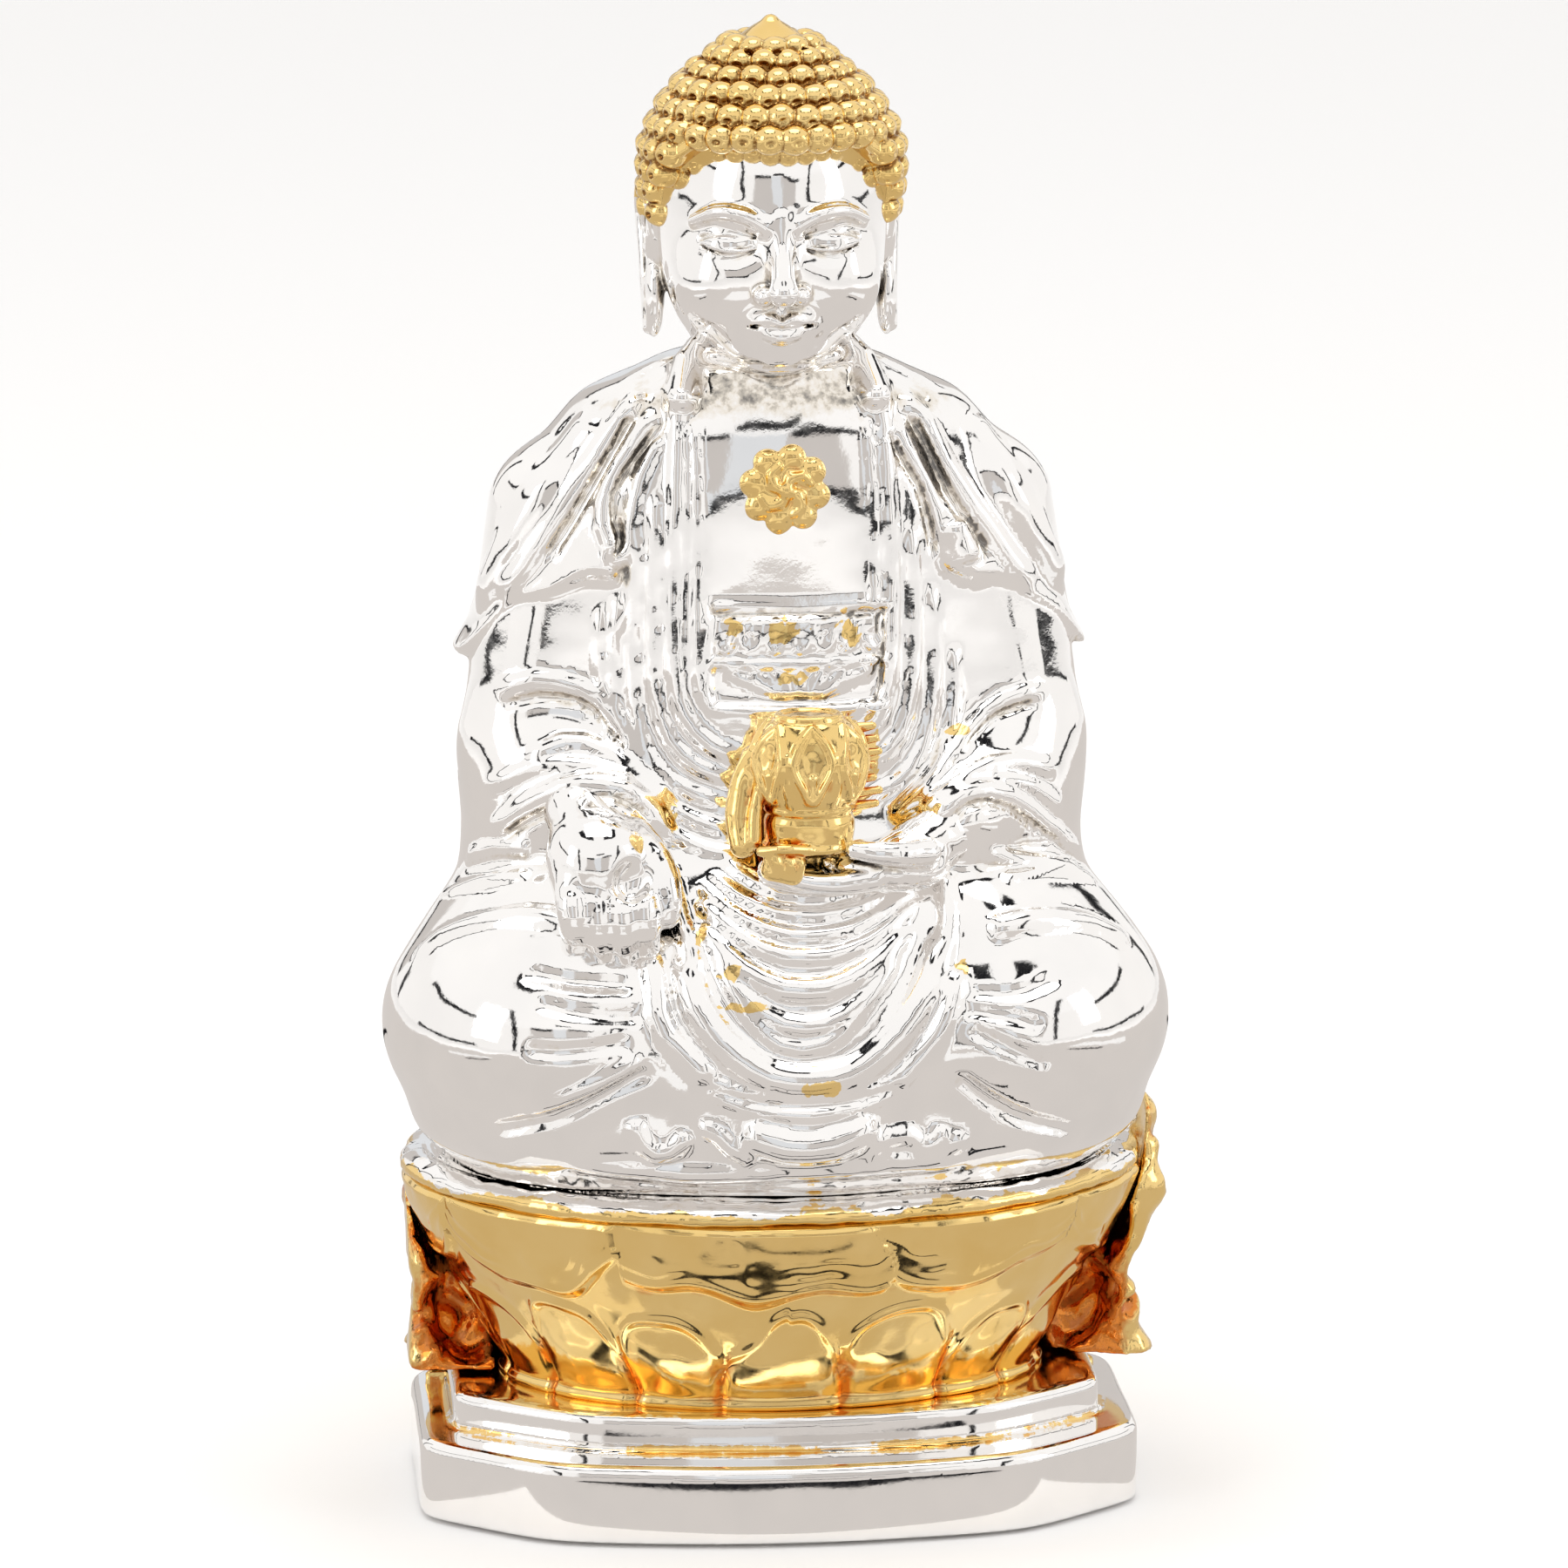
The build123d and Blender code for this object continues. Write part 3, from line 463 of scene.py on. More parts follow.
    ([(-27.9, -8.3, 82.3), (-25.9, -9.2, 83), (-23.8, -9.6, 83.5), (-21.7, -9.9, 83.5), (-19.6, -10.1, 83.1), (-18, -10.7, 81.9), (-16.7, -11.3, 80.3), (-15.5, -12.1, 78.7), (-14.4, -12.9, 77), (-13.3, -13.8, 75.3), (-12.1, -14.3, 73.6)], 0.7, -0.6),
    ([(-25.5, -11.4, 77.3), (-23.6, -11.6, 78.5), (-21.6, -11.5, 79.4), (-19.4, -11.6, 79.3), (-17.5, -12.2, 78.5), (-15.7, -13, 77.3), (-14.2, -13.8, 75.8), (-12.8, -14.4, 74.2), (-11.5, -14.5, 72.4)], 1.2, 0.7),
    ([(-28.9, -9.5, 69.7), (-27.3, -11.4, 71.4), (-25.6, -12.5, 72.9), (-23.7, -13.5, 74.3), (-21.8, -14.3, 75.4), (-19.7, -14.8, 76), (-17.6, -15, 76), (-15.5, -15.3, 75.4), (-13.6, -15.1, 74.2), (-12.1, -14.8, 72.5), (-10.8, -14.9, 70.7)], 1.3, 0.9),
    ([(-27.8, -10.8, 69.6), (-25.8, -12.3, 71.2), (-23.7, -13.8, 72.6), (-21.6, -15.3, 73.9), (-19.3, -16.2, 74.7), (-16.9, -16.5, 74.8), (-14.7, -16.3, 73.7), (-12.7, -15.5, 71.9)], 0.8, -0.7),
    ([(-29.2, -9.2, 74.3), (-27.4, -10.9, 75.5), (-25.4, -11.7, 76.5), (-23.4, -12.4, 77.2), (-21.3, -13, 77.5), (-19.2, -13.3, 77.4), (-17.1, -13.7, 76.9), (-15.4, -14.4, 75.9), (-13.7, -14.8, 74.6)], 1, 0.5),
    ([(27.1, -8.6, 83), (24.7, -9.5, 83.1), (22.4, -10, 82.4), (20.5, -10.5, 81.1), (18.9, -11.4, 79.6), (17.5, -12.7, 77.9), (15.9, -14, 76.3), (14.2, -15, 74.8), (12.6, -14.8, 73.2), (10.8, -14.6, 71.6)], 1.3, 0.9),
    ([(26.3, -9.3, 82.1), (23.9, -10, 81.9), (21.6, -10.5, 81.2), (19.7, -11.3, 79.7), (18.1, -12.5, 78.2), (16.6, -14, 76.5), (14.8, -15.2, 75.1), (13, -15.1, 73.5)], 0.7, -0.6),
    ([(27.9, -10.5, 75.2), (25.6, -11.8, 76.2), (23.3, -12.6, 76.8), (20.9, -13.7, 76.8), (18.7, -14.8, 76.2), (16.8, -16.1, 75.2), (15, -16.4, 73.9), (13.3, -15.9, 72.4)], 1.2, 0.8),
    ([(31.3, -4.9, 65.1), (28.8, -9.6, 67.8), (26.7, -11.7, 69.9), (24.8, -12.9, 71.8), (22.6, -14.5, 73.6), (20.2, -15.8, 74.7), (17.8, -16.7, 74.6), (15.9, -17.2, 73.2), (14.6, -17, 71.2)], 1.3, 0.9),
    ([(28.9, -9.7, 67.1), (26.9, -11.6, 69.1), (24.8, -12.8, 70.8), (22.6, -14.8, 72.6), (20.2, -16.5, 73.6), (17.8, -17.4, 73.3), (16.2, -17.7, 71.7)], 0.7, -0.6),
    ([(28.4, -10.3, 71.2), (27.2, -11.4, 72.4), (26.1, -12.1, 73.4), (25, -12.7, 74.3), (23.6, -13.3, 74.9), (22.2, -14.1, 75.3), (20.9, -14.7, 75.6)], 1, 0.5),
    ([(-6.1, -16.7, 68.5), (-4.5, -17.9, 67.2), (-2.7, -19.1, 66.3), (-0.7, -20, 65.6), (1.5, -20.4, 65.2), (3.7, -20.3, 65.2), (6, -19.6, 65.4), (8.2, -18.5, 65.9), (10.2, -17.2, 66.8), (12.1, -16.2, 68)], 0.9, 0.45),
    ([(-7.7, -17.2, 67.3), (-6.2, -18.4, 66.1), (-4.7, -19.5, 65.1), (-2.9, -20.5, 64.4), (-1, -21.2, 63.8), (1, -21.6, 63.6), (3.1, -21.5, 63.5), (5.2, -21.1, 63.7), (7.3, -20.2, 64.1), (9.2, -19.1, 64.8), (11, -17.9, 65.7), (12.7, -16.9, 66.8)], 0.9, 0.5),
    ([(-8.8, -17.5, 66.5), (-7.4, -18.8, 65.2), (-5.9, -20, 64), (-4.2, -21.1, 63.1), (-2.3, -21.9, 62.4), (-0.3, -22.5, 61.9), (1.8, -22.6, 61.7), (3.9, -22.4, 61.8), (6.1, -21.8, 62.1), (8.1, -20.8, 62.8), (10, -19.6, 63.6), (11.7, -18.4, 64.8), (13.3, -17.4, 66)], 1, 0.6),
    ([(-8.9, -18.6, 65), (-7.5, -19.9, 63.6), (-6, -21.1, 62.4), (-4.3, -22.1, 61.3), (-2.5, -22.9, 60.5), (-0.4, -23.4, 59.9), (1.7, -23.5, 59.8), (3.9, -23.3, 59.8), (6, -22.8, 60.3), (8.1, -21.9, 61), (9.9, -20.7, 62), (11.6, -19.4, 63.1), (13.2, -18.5, 64.5)], 1.1, 0.8),
    ([(-8.7, -20.2, 62.7), (-7.5, -21.4, 61.2), (-6.1, -22.5, 59.8), (-4.6, -23.4, 58.6), (-2.8, -24, 57.6), (-0.8, -24.5, 56.9), (1.4, -24.6, 56.7), (3.5, -24.5, 56.8), (5.6, -24, 57.4), (7.5, -23.3, 58.3), (9.3, -22.3, 59.5), (10.8, -21.1, 60.8), (12.3, -19.9, 62.2)], 1.5, 1),
    ([(-7.7, -21.8, 60.4), (-6.6, -22.8, 58.8), (-5.6, -23.8, 57.2), (-4.2, -24.5, 55.7), (-2.7, -25, 54.4), (-0.8, -25.4, 53.5), (1.3, -25.5, 53.2), (3.4, -25.3, 53.4), (5.3, -25, 54.2), (7, -24.4, 55.5), (8.5, -23.6, 56.9), (9.7, -22.7, 58.4), (10.9, -21.5, 60)], 1.3, 0.9),
    ([(-6.7, -23.2, 58.1), (-5.6, -24.1, 56.3), (-4.5, -24.9, 54.5), (-3, -25.4, 52.9), (-1.2, -25.8, 51.6), (1, -25.9, 51.1), (3.2, -25.8, 51.5), (5.1, -25.4, 52.7), (6.7, -24.8, 54.2), (8, -24.1, 56), (9.2, -23.1, 57.8)], 1, 0.7),
    ([(-9.4, -25.6, 48.7), (-7.5, -25.9, 47.8), (-5.5, -26.2, 47.2), (-3.5, -26.5, 46.7), (-1.4, -26.8, 46.5), (0.7, -26.9, 46.4), (2.9, -26.8, 46.4), (5, -26.6, 46.5), (7.1, -26.2, 46.9), (9.2, -25.8, 47.4), (11.2, -25.4, 48.1)], 0.8, 0.5),
    ([(-9, -25.8, 47.2), (-7, -26.1, 46.2), (-4.9, -26.5, 45.4), (-2.7, -27, 45), (-0.4, -27.3, 44.8), (1.8, -27.4, 44.7), (4.1, -27.1, 44.9), (6.4, -26.7, 45.2), (8.6, -26.1, 45.8), (10.7, -25.5, 46.7)], 0.8, 0.5),
    ([(-10.3, -21.3, 60.4), (-10.1, -22.4, 58.6), (-9.8, -23.3, 56.8), (-9.2, -24.2, 55), (-8.2, -24.9, 53.4), (-7, -25.4, 51.9), (-5.6, -25.8, 50.6), (-4, -26.1, 49.4), (-2.2, -26.3, 48.5), (-0.2, -26.5, 48.1), (1.8, -26.5, 48), (3.8, -26.4, 48.2), (5.8, -26.1, 48.6), (7.5, -25.8, 49.5), (9.1, -25.4, 50.7), (10.6, -24.9, 52.1), (11.8, -24.3, 53.6), (12.9, -23.7, 55.2), (13.8, -22.9, 56.9), (14.5, -21.9, 58.6), (15.1, -20.8, 60.3), (15.3, -20, 62.2)], 2, 1.6),
    ([(-5.2, -26.6, 43.1), (-3.1, -27.1, 42.1), (-0.8, -27.4, 41.3), (1.7, -27.5, 41.2), (4.1, -27.3, 41.5), (6.4, -27, 42.5), (8.5, -26.3, 43.6)], 2.4, 1.2),
    ([(-11.7, -16.1, 68), (-11.4, -17.2, 66.3), (-11, -18.4, 64.6), (-10.6, -19.6, 63), (-10, -20.7, 61.4), (-9.6, -21.8, 59.8), (-9.2, -22.8, 58.1)], 1.2, 0.8),
    ([(-13.8, -20.8, 60.3), (-13.5, -22, 58.4), (-13.2, -23.2, 56.4), (-13.1, -24.1, 54.4), (-12.3, -24.7, 52.4), (-10.8, -25.1, 50.9), (-9.3, -25.6, 49.3), (-7.8, -25.9, 47.8)], 1.6, 0.9),
    ([(15.6, -17.3, 66.8), (15.9, -18.6, 64.8), (16, -19.9, 62.7), (15.8, -20.8, 60.5), (15.3, -22, 58.5), (14.6, -23.3, 56.4), (13.9, -24.2, 54.4)], 1.2, 0.8),
    ([(16.6, -22.3, 58.3), (16.1, -23.7, 56.3), (15.4, -24.6, 54.2), (14.4, -25, 52.1), (13, -25.1, 50.3), (11.4, -25.3, 48.5), (9.8, -25.7, 46.9)], 1.5, 0.9),
    ([(-26.3, -22.2, 58.6), (-24.5, -22.9, 58.4), (-22.7, -23.4, 58), (-20.9, -23.5, 57.7), (-19, -23.4, 57.5), (-17.1, -23.1, 57.3), (-15.2, -22.9, 57.2)], 1.3, -0.45),
    ([(-25.4, -24.4, 56.2), (-23.7, -25, 55.7), (-21.9, -25.4, 55.3), (-20.1, -25.4, 55), (-18.2, -25.1, 54.7), (-16.3, -24.6, 54.5), (-14.5, -24.3, 54.3)], 1.2, -0.5),
    ([(-26.5, -25.9, 51.7), (-24.7, -26.4, 51.6), (-22.9, -26.6, 51.5), (-21.1, -26.6, 51.6), (-19.2, -26.3, 51.7), (-17.4, -25.8, 51.9), (-15.6, -25.2, 52.1)], 1.1, -0.5),
    ([(-29.8, -22.1, 42.5), (-27.7, -23.5, 43.2), (-25.6, -24.4, 43.8), (-23.4, -25.1, 44.4), (-21.4, -25.5, 45.3), (-19.4, -25.7, 46.3), (-17.4, -25.7, 47.3), (-15.5, -25.5, 48.3), (-13.5, -25.2, 49.3)], 1.2, -0.7),
    ([(-26.5, -24.7, 45), (-24.5, -25.6, 45.9), (-22.4, -26.1, 46.7), (-20.4, -26.2, 47.5), (-18.4, -26.1, 48.4), (-16.5, -25.7, 49.4), (-14.5, -25.3, 50.4)], 1.3, 0.5),
    ([(26.6, -23.2, 57.4), (25, -24, 56.9), (23.5, -24.6, 56.4), (22, -24.9, 56.1), (20.4, -24.8, 56), (18.9, -24.5, 56.1), (17.3, -24.1, 56.1)], 1.2, -0.45),
    ([(24.9, -26.1, 52.9), (23.5, -26.1, 53.3), (22.2, -26.1, 53.8), (20.9, -25.9, 54.1), (19.6, -25.6, 54.2), (18.2, -25.2, 54.4), (16.9, -24.8, 54.5)], 1.2, -0.5),
    ([(25.7, -26.2, 48.9), (24.2, -26.5, 49.6), (22.7, -26.7, 50.3), (21.3, -26.7, 50.9), (19.9, -26.4, 51.6), (18.5, -26, 52.3), (17.2, -25.5, 52.9)], 1.1, -0.5),
    ([(28.9, -22.3, 41.2), (26.4, -23.7, 42.1), (24, -24.6, 42.9), (21.7, -25.1, 44), (19.6, -25.4, 45.3), (17.6, -25.6, 46.8), (15.8, -25.5, 48.3)], 1.2, -0.7),
    ([(-15.6, -25, 44.3), (-15.3, -25, 42.8), (-14.7, -25, 41.5), (-13.5, -24.9, 40.5), (-12.1, -25.1, 40.7), (-11, -25.2, 41.6), (-10.1, -25.4, 42.9)], 1.3, 0.9),
    ([(-9.4, -25.6, 43.3), (-8.3, -25.8, 43.1), (-7.3, -26.1, 42.6), (-6.5, -26.2, 41.7), (-5.6, -26.3, 40.9), (-4.6, -26.4, 40.3), (-3.5, -26.5, 39.8)], 1.2, 0.8),
    ([(6.8, -26, 39.3), (7.9, -26.3, 40.9), (9.4, -26, 41.9), (11.3, -25.4, 42), (12.9, -25, 40.7), (14.5, -25, 41.3), (15.2, -25, 43.1)], 1.3, 0.9),
    ([(8.1, -26, 40), (9.8, -25.4, 39.7), (11.5, -25, 39.6), (13.1, -24.8, 39.7), (14.7, -24.8, 40.2), (16.2, -24.9, 40.9), (17.3, -25, 42.2)], 1, 0.6),
    ([(-23, -23.6, 39.5), (-21, -23.8, 39.3), (-19, -23.9, 39.1), (-16.9, -24, 38.8), (-14.9, -24.2, 38.7), (-12.8, -24.4, 38.5), (-10.8, -24.6, 38.3), (-8.7, -24.9, 38.3), (-6.7, -25.3, 38.4), (-4.7, -25.7, 38.5), (-2.6, -26.1, 38.6), (-0.6, -26.4, 38.8), (1.5, -26.5, 38.8), (3.5, -26.4, 38.9), (5.6, -26.1, 38.9), (7.7, -25.6, 38.9), (9.9, -25.1, 38.9), (12, -24.7, 38.9), (14.1, -24.4, 38.9), (16.2, -24.2, 39), (18.3, -24, 39)], 1, 0.7),
    ([(-36.9, -10.8, 57.1), (-35.3, -12, 58.7), (-33.7, -12.8, 60.2), (-31.8, -14.2, 61.4), (-29.9, -15.7, 62.3), (-27.9, -17, 62.9), (-25.9, -18.1, 63.3), (-23.8, -19.2, 63.3), (-21.9, -20.1, 63), (-19.9, -20.6, 62.6), (-17.9, -20.6, 61.9), (-15.9, -20.5, 61.2)], 1.7, 0.8),
    ([(35, -14.2, 58.2), (32.9, -15.6, 59.7), (30.7, -16.7, 61), (28.4, -18.1, 61.8), (26, -19.3, 62.2), (23.7, -20.2, 62.3), (21.5, -20.9, 62), (19.4, -21.1, 61.5)], 1.7, 0.8),
    ([(-33.6, -1.4, 61.4), (-32.1, -6.4, 63.4), (-30.4, -9.2, 64.6), (-28.6, -11.4, 65.4), (-26.7, -12.9, 65.9), (-24.9, -13.9, 66.3)], 1.1, 0.5),
    ([(-30.9, -5.1, 66.4), (-29.5, -8.5, 67.8), (-28, -10.6, 68.6), (-26.4, -11.9, 68.8), (-24.8, -12.7, 68.8)], 1.1, 0.5),
    ([(32.4, -6.6, 63), (30.1, -9.9, 64.6), (27.9, -12.2, 65.5), (25.7, -14.1, 65.8), (23.6, -15.9, 65.8), (21.5, -17.1, 65.8)], 1.1, 0.5),
    ([(19.8, -16.9, 68.4), (21.9, -15.3, 67.7), (23.9, -13.8, 67), (25.9, -13, 66.5), (28, -11.7, 65.9), (30.2, -9, 64.9)], 1.1, 0.5),
]

# ---------------------------------------------------------------- the parts' fields
# each returns (field, low corner, high corner); the gold masks are separate functions
def zero(P):
    return np.zeros(len(P))


def robe():
    f = body_base()
    cape_shell(f)
    # bare chest, sunk between the neckline strips, and a rolled collar
    f.put("s", lambda P: boxr(P, (0.5, -17.2, 103.6), (8.2, 4.9, 11.2), 1.2), (-9, -24, 91), (10, -10, 116), k=0.7)
    f.tube("u", [(-9.6, -9.2, 113.2), (-7.6, -3.0, 117.2), (0, 4.0, 119.0), (7.8, -3.0, 117.2), (9.8, -9.2, 113.2)], 1.2, k=1.4)
    for pts, w, h in FOLDS:
        low = max(q[2] for q in pts) < 43      # the hem's swirls over the seat stand higher
        lap = all(abs(q[0]) < 17 and 42 < q[2] < 72 for q in pts)
        f.ridge(pts, w * (1.5 if low else 1), h * (1.5 if low else 1.75 if lap else 1.2))
    # sash in two rows over the lower chest: a sunk panel edged with rolls, short petals above and a fan below
    f.put("disp", lambda P: -0.75 * step(P[:, 0], -7.4, -6.4) * step(-P[:, 0], -11.0, -10.0) * step(P[:, 2], 82.6, 83.6) * step(-P[:, 2], -93.2, -92.2), (-8, -19, 82), (12, -8, 94))
    for z, w, h in ((92.8, .75, .8), (87.3, .65, .8), (82.9, .6, .6)):
        f.ridge(on_front(f, [(-7.0, z), (1.8, z - .25), (10.6, z)]), w, h, taper=.03)
    for i in range(-3, 4):
        c = 1.8 + i * 2.45
        f.ridge(on_front(f, [(c - .85, 91.9), (c - .75, 89.3), (c, 88.3), (c + .75, 89.3), (c + .85, 91.9)]), .5, .6, taper=.05)
        f.ridge(on_front(f, [(c, 91.7), (c, 89.9)]), .42, .45)
        f.ridge(on_front(f, [(1.8 + i * .55, 83.7), (1.8 + i * 1.5, 85.2), (1.8 + i * 2.5, 86.6)]), .6, .7, taper=.1)
    # back: long soft falls from the shoulders and shallow swags between them
    for s in (-1, 1):
        for x0, z0, x1, z1, x2, z2, w, h in ((6, 113, 11, 102, 14, 87, 3.0, .8), (10, 113, 17, 101, 22, 87, 3.2, .9), (14, 111, 23, 100, 29, 88, 2.6, .7)):
            f.ridge(on_back(f, [(s * x0, z0), (s * x1, z1), (s * x2, z2)]), w, h, taper=.3)
        for x0, z0, x1, z1, w, h in ((13, 86, 22, 60, 3.2, .9), (19, 86, 29, 64, 2.8, .8), (7, 72, 17, 48, 3.0, .7), (16, 58, 29, 44, 3.2, .8)):
            f.ridge(on_back(f, [(s * x0, z0), (s * (x0 + x1) / 2 - s, (z0 + z1) / 2), (s * x1, z1)]), w, h, taper=.35)
    for zc, drop, hw, w in ((101, 9, 14, 2.8), (91, 10, 17, 3.0), (76, 8, 15, 3.4), (64, 12, 19, 3.6), (49, 11, 22, 3.6)):
        f.ridge(on_back(f, [(-hw, zc + drop), (-.55 * hw, zc + .35 * drop), (0, zc), (.55 * hw, zc + .35 * drop), (hw, zc + drop)]), w, .75, taper=.35)
    # the plated casting is a little uneven
    f.put("disp", lambda P: 0.05 * noise(P, 6.0, 1) + 0.018 * noise(P, 1.7, 2))
    f.put("i", lambda P: 35.65 - P[:, 2], k=0.2)
    return f, (-41, -30, 34.5), (41, 27, 120)


def on_back(f, xz, y0=34.0):
    out = []
    for x, z in spline(xz, 9):
        y = np.linspace(y0, -4, 153)
        P = np.stack([np.full_like(y, x), y, np.full_like(y, z)], 1)
        d = f(P)
        i = np.nonzero(d < 0)[0]
        if len(i):
            out.append((x, y[i[0]], z))
    return out


def on_front(f, xz, n=9, y0=-34.0):
    out = []
    for x, z in spline(xz, n):
        y = np.linspace(y0, 2, 181)
        d = f(np.stack([np.full_like(y, x), y, np.full_like(y, z)], 1))
        i = np.nonzero(d < 0)[0]
        if len(i):
            i = i[0]
            out.append((x, y[i - 1] + (y[i] - y[i - 1]) * d[i - 1] / (d[i - 1] - d[i]), z))
    return out


def plate_noise(P, a=0.6, s=1.1, seed=4):
    return a * noise(P, s, seed) + 0.5 * a * noise(P, s * 0.4, seed + 1)


def spots(P, rows):
    """1 inside any of the spots (x, y, z, rx, ry, rz), fading out with distance"""
    m = np.full(len(P), -3.0)
    for x, y, z, a, b, c in rows:
        m = np.maximum(m, 1 - np.sqrt((((P - (x, y, z)) / (a, b, c)) ** 2).sum(1)))
    return 0.5 + 0.5 * np.clip(m * 1.5, -1, 1)


ROBE_GOLD = [(1.0, -13.8, 90.4, 2.3, 2, 1.4), (6.6, -13.4, 90.6, 1.3, 2, 1.6), (-4.6, -13.4, 90.8, 1.0, 2, 1.3), (1.0, -13.8, 85.8, 1.4, 2, 1.0),
             (-2.6, -17, 76.0, 1.6, 3, 4.4), (-4.2, -18, 70.6, 1.9, 3, 1.8), (-8.6, -24, 63.4, .7, 4, 3.4), (-6.2, -25, 58.6, 1.3, 3, .9), (-4.6, -26, 55.2, 2.1, 3, .5),
             (2.6, -27, 47.4, 2.0, 2, .8), (13.6, -16, 71.6, 2.6, 4, 1.3), (17.2, -20, 57.4, 1.1, 3, 1.5), (8.6, -14, 78.2, 1.2, 3, 2.2), (17.8, -12, 80.0, 1.5, 3, .5),
             (-16.6, -17, 72.2, 1.6, 3, .9), (-10.8, -17, 69.6, .5, 3, 3.4)]


def robe_gold(P):
    m = spots(P, ROBE_GOLD)
    rag = .45 * noise(P, 1.0, 41) + .35 * noise(P, .45, 42)
    return np.clip(m * .92 + rag * step(m, .05, .3), 0, 1)


# ---------------------------------------------------------------- head
def head():
    f = Field()
    f.ell("u", (0, -1.4, 131.2), (11.5, 12.4, 13.4), k=0)
    f.ell("u", (0, -4.0, 124.2), (10.1, 9.4, 9.2), k=3.5)
    f.ell("u", (0, -9.6, 118.2), (4.0, 3.6, 2.9), k=3.0)
    f.cone("u", (0, -0.4, 112.2), (0, -0.6, 122), 7.9, 7.2, k=2.2)
    for s in (-1, 1):
        f.ell("u", (s * 5.2, -9.2, 124.4), (4.4, 3.7, 4.4), k=2.6)
        f.ell("s", (s * 4.8, -15.2, 129.0), (3.2, 2.6, 1.9), rot(0, s * 4, 0), k=1.6)
        f.ell("u", (s * 4.8, -11.2, 128.7), (2.7, 1.9, 1.55), k=0.5)
        f.tube("u", [(s * 1.5, -13.5, 130.5), (s * 3.6, -13.6, 131.7), (s * 6.2, -12.5, 132.0), (s * 8.6, -10.4, 130.9)], [.45, .62, .6, .3], k=1.0)
    # nose
    f.tube("u", [(0, -13.2, 131.0), (0, -13.9, 128.6), (0, -15.0, 126.0), (0, -15.7, 124.4)], [.9, .9, 1.15, 1.3], k=1.2)
    f.ell("u", (0, -15.6, 124.3), (1.45, 1.35, 1.2), k=0.6)
    for s in (-1, 1):
        f.ell("u", (s * 1.75, -14.2, 123.9), (1.05, 1.3, .95), k=0.45)
        f.ell("s", (s * 0.95, -15.0, 122.9), (.42, .7, .42), k=0.3)
    # mouth and chin
    f.ell("u", (0, -12.2, 121.0), (3.6, 1.7, 1.9), k=1.4)
    f.tube("u", [(-3.1, -12.4, 121.05), (-1.3, -13.7, 121.5), (0, -13.95, 121.3), (1.3, -13.7, 121.5), (3.1, -12.4, 121.05)], [.25, .55, .5, .55, .25], k=0.35)
    f.tube("u", [(-2.5, -12.5, 120.6), (-1.1, -13.5, 119.95), (0, -13.7, 119.8), (1.1, -13.5, 119.95), (2.5, -12.5, 120.6)], [.25, .62, .7, .62, .25], k=0.35)
    f.tube("s", [(-3.2, -12.9, 120.85), (-1.4, -14.3, 120.75), (0, -14.6, 120.62), (1.4, -14.3, 120.75), (3.2, -12.9, 120.85)], .22, k=0.2)
    f.ell("s", (0, -14.6, 122.2), (.5, .8, .85), k=0.5)
    for s in (-1, 1):
        # lids, almost closed
        f.tube("s", [(s * 2.5, -12.9, 128.35), (s * 4.0, -13.35, 127.95), (s * 5.8, -12.9, 128.0), (s * 7.5, -11.4, 128.6)], .2, k=0.22)
        f.tube("u", [(s * 2.4, -12.8, 128.5), (s * 4.0, -13.3, 128.25), (s * 5.8, -12.85, 128.3), (s * 7.6, -11.3, 128.85)], .2, k=0.25)
        f.tube("s", [(s * 2.4, -12.75, 129.5), (s * 4.2, -13.0, 129.95), (s * 6.2, -12.4, 129.9), (s * 7.8, -11.0, 129.3)], .2, k=0.35)
        # long ears
        f.ell("u", (s * 11.4, 0.6, 129.0), (1.3, 2.6, 4.4), rot(-8, 0, 0), k=0.8)
        f.ell("u", (s * 11.6, -0.3, 121.8), (1.05, 1.9, 3.9), k=0.9)
        f.tube("u", [(s * 11.4, -1.9, 128.0), (s * 12.1, -1.7, 131.8), (s * 12.6, 0.9, 133.4), (s * 12.7, 3.0, 130.8), (s * 12.4, 2.4, 126.4), (s * 12.2, 1.2, 122.4), (s * 12.1, 0.0, 118.8)], .62, k=0.35)
        f.ell("s", (s * 12.9, 0.4, 129.4), (.9, 1.3, 2.6), k=0.4)
        f.tube("u", [(s * 12.2, 0.6, 126.6), (s * 12.3, .9, 129.0), (s * 12.3, 0.4, 131.0)], .45, k=0.3)
        f.ell("s", (s * 12.8, -0.4, 121.4), (.55, .7, 2.2), k=0.35)
    # creases round the neck
    for z, t in ((117.4, 1.0), (115.7, .9), (114.1, .8)):
        f.put("disp", lambda P, z=z, t=t: -0.34 * t * np.exp(-((P[:, 2] - z - 0.05 * P[:, 1]) / 0.42) ** 2), (-9, -11, 111), (9, 9, 119))
    f.put("disp", lambda P: 0.045 * noise(P, 3.4, 5) + 0.02 * noise(P, 1.2, 6))
    f.put("disp", lambda P: 0.16 * noise(P, 1.1, 9) * step(-P[:, 2], -116.4, -113.6))
    f.put("i", lambda P: 112.0 - P[:, 2], k=0.3)
    return f, (-13.6, -17.6, 111.6), (13.6, 12.4, 144)


def head_gold(P):
    # plating strays from the hair onto the tops of the ears and the temples
    x, y, z = P[:, 0], P[:, 1], P[:, 2]
    side = step(np.abs(x), 9.4, 11.0) * step(z, 130.6, 132.4) * step(y, -4.5, -2.5)
    back = step(y, 2.2, 4.2) * step(z, 123, 125)
    line = step(z, 138.4, 139.4)
    return np.clip(side + back + line, 0, 1)


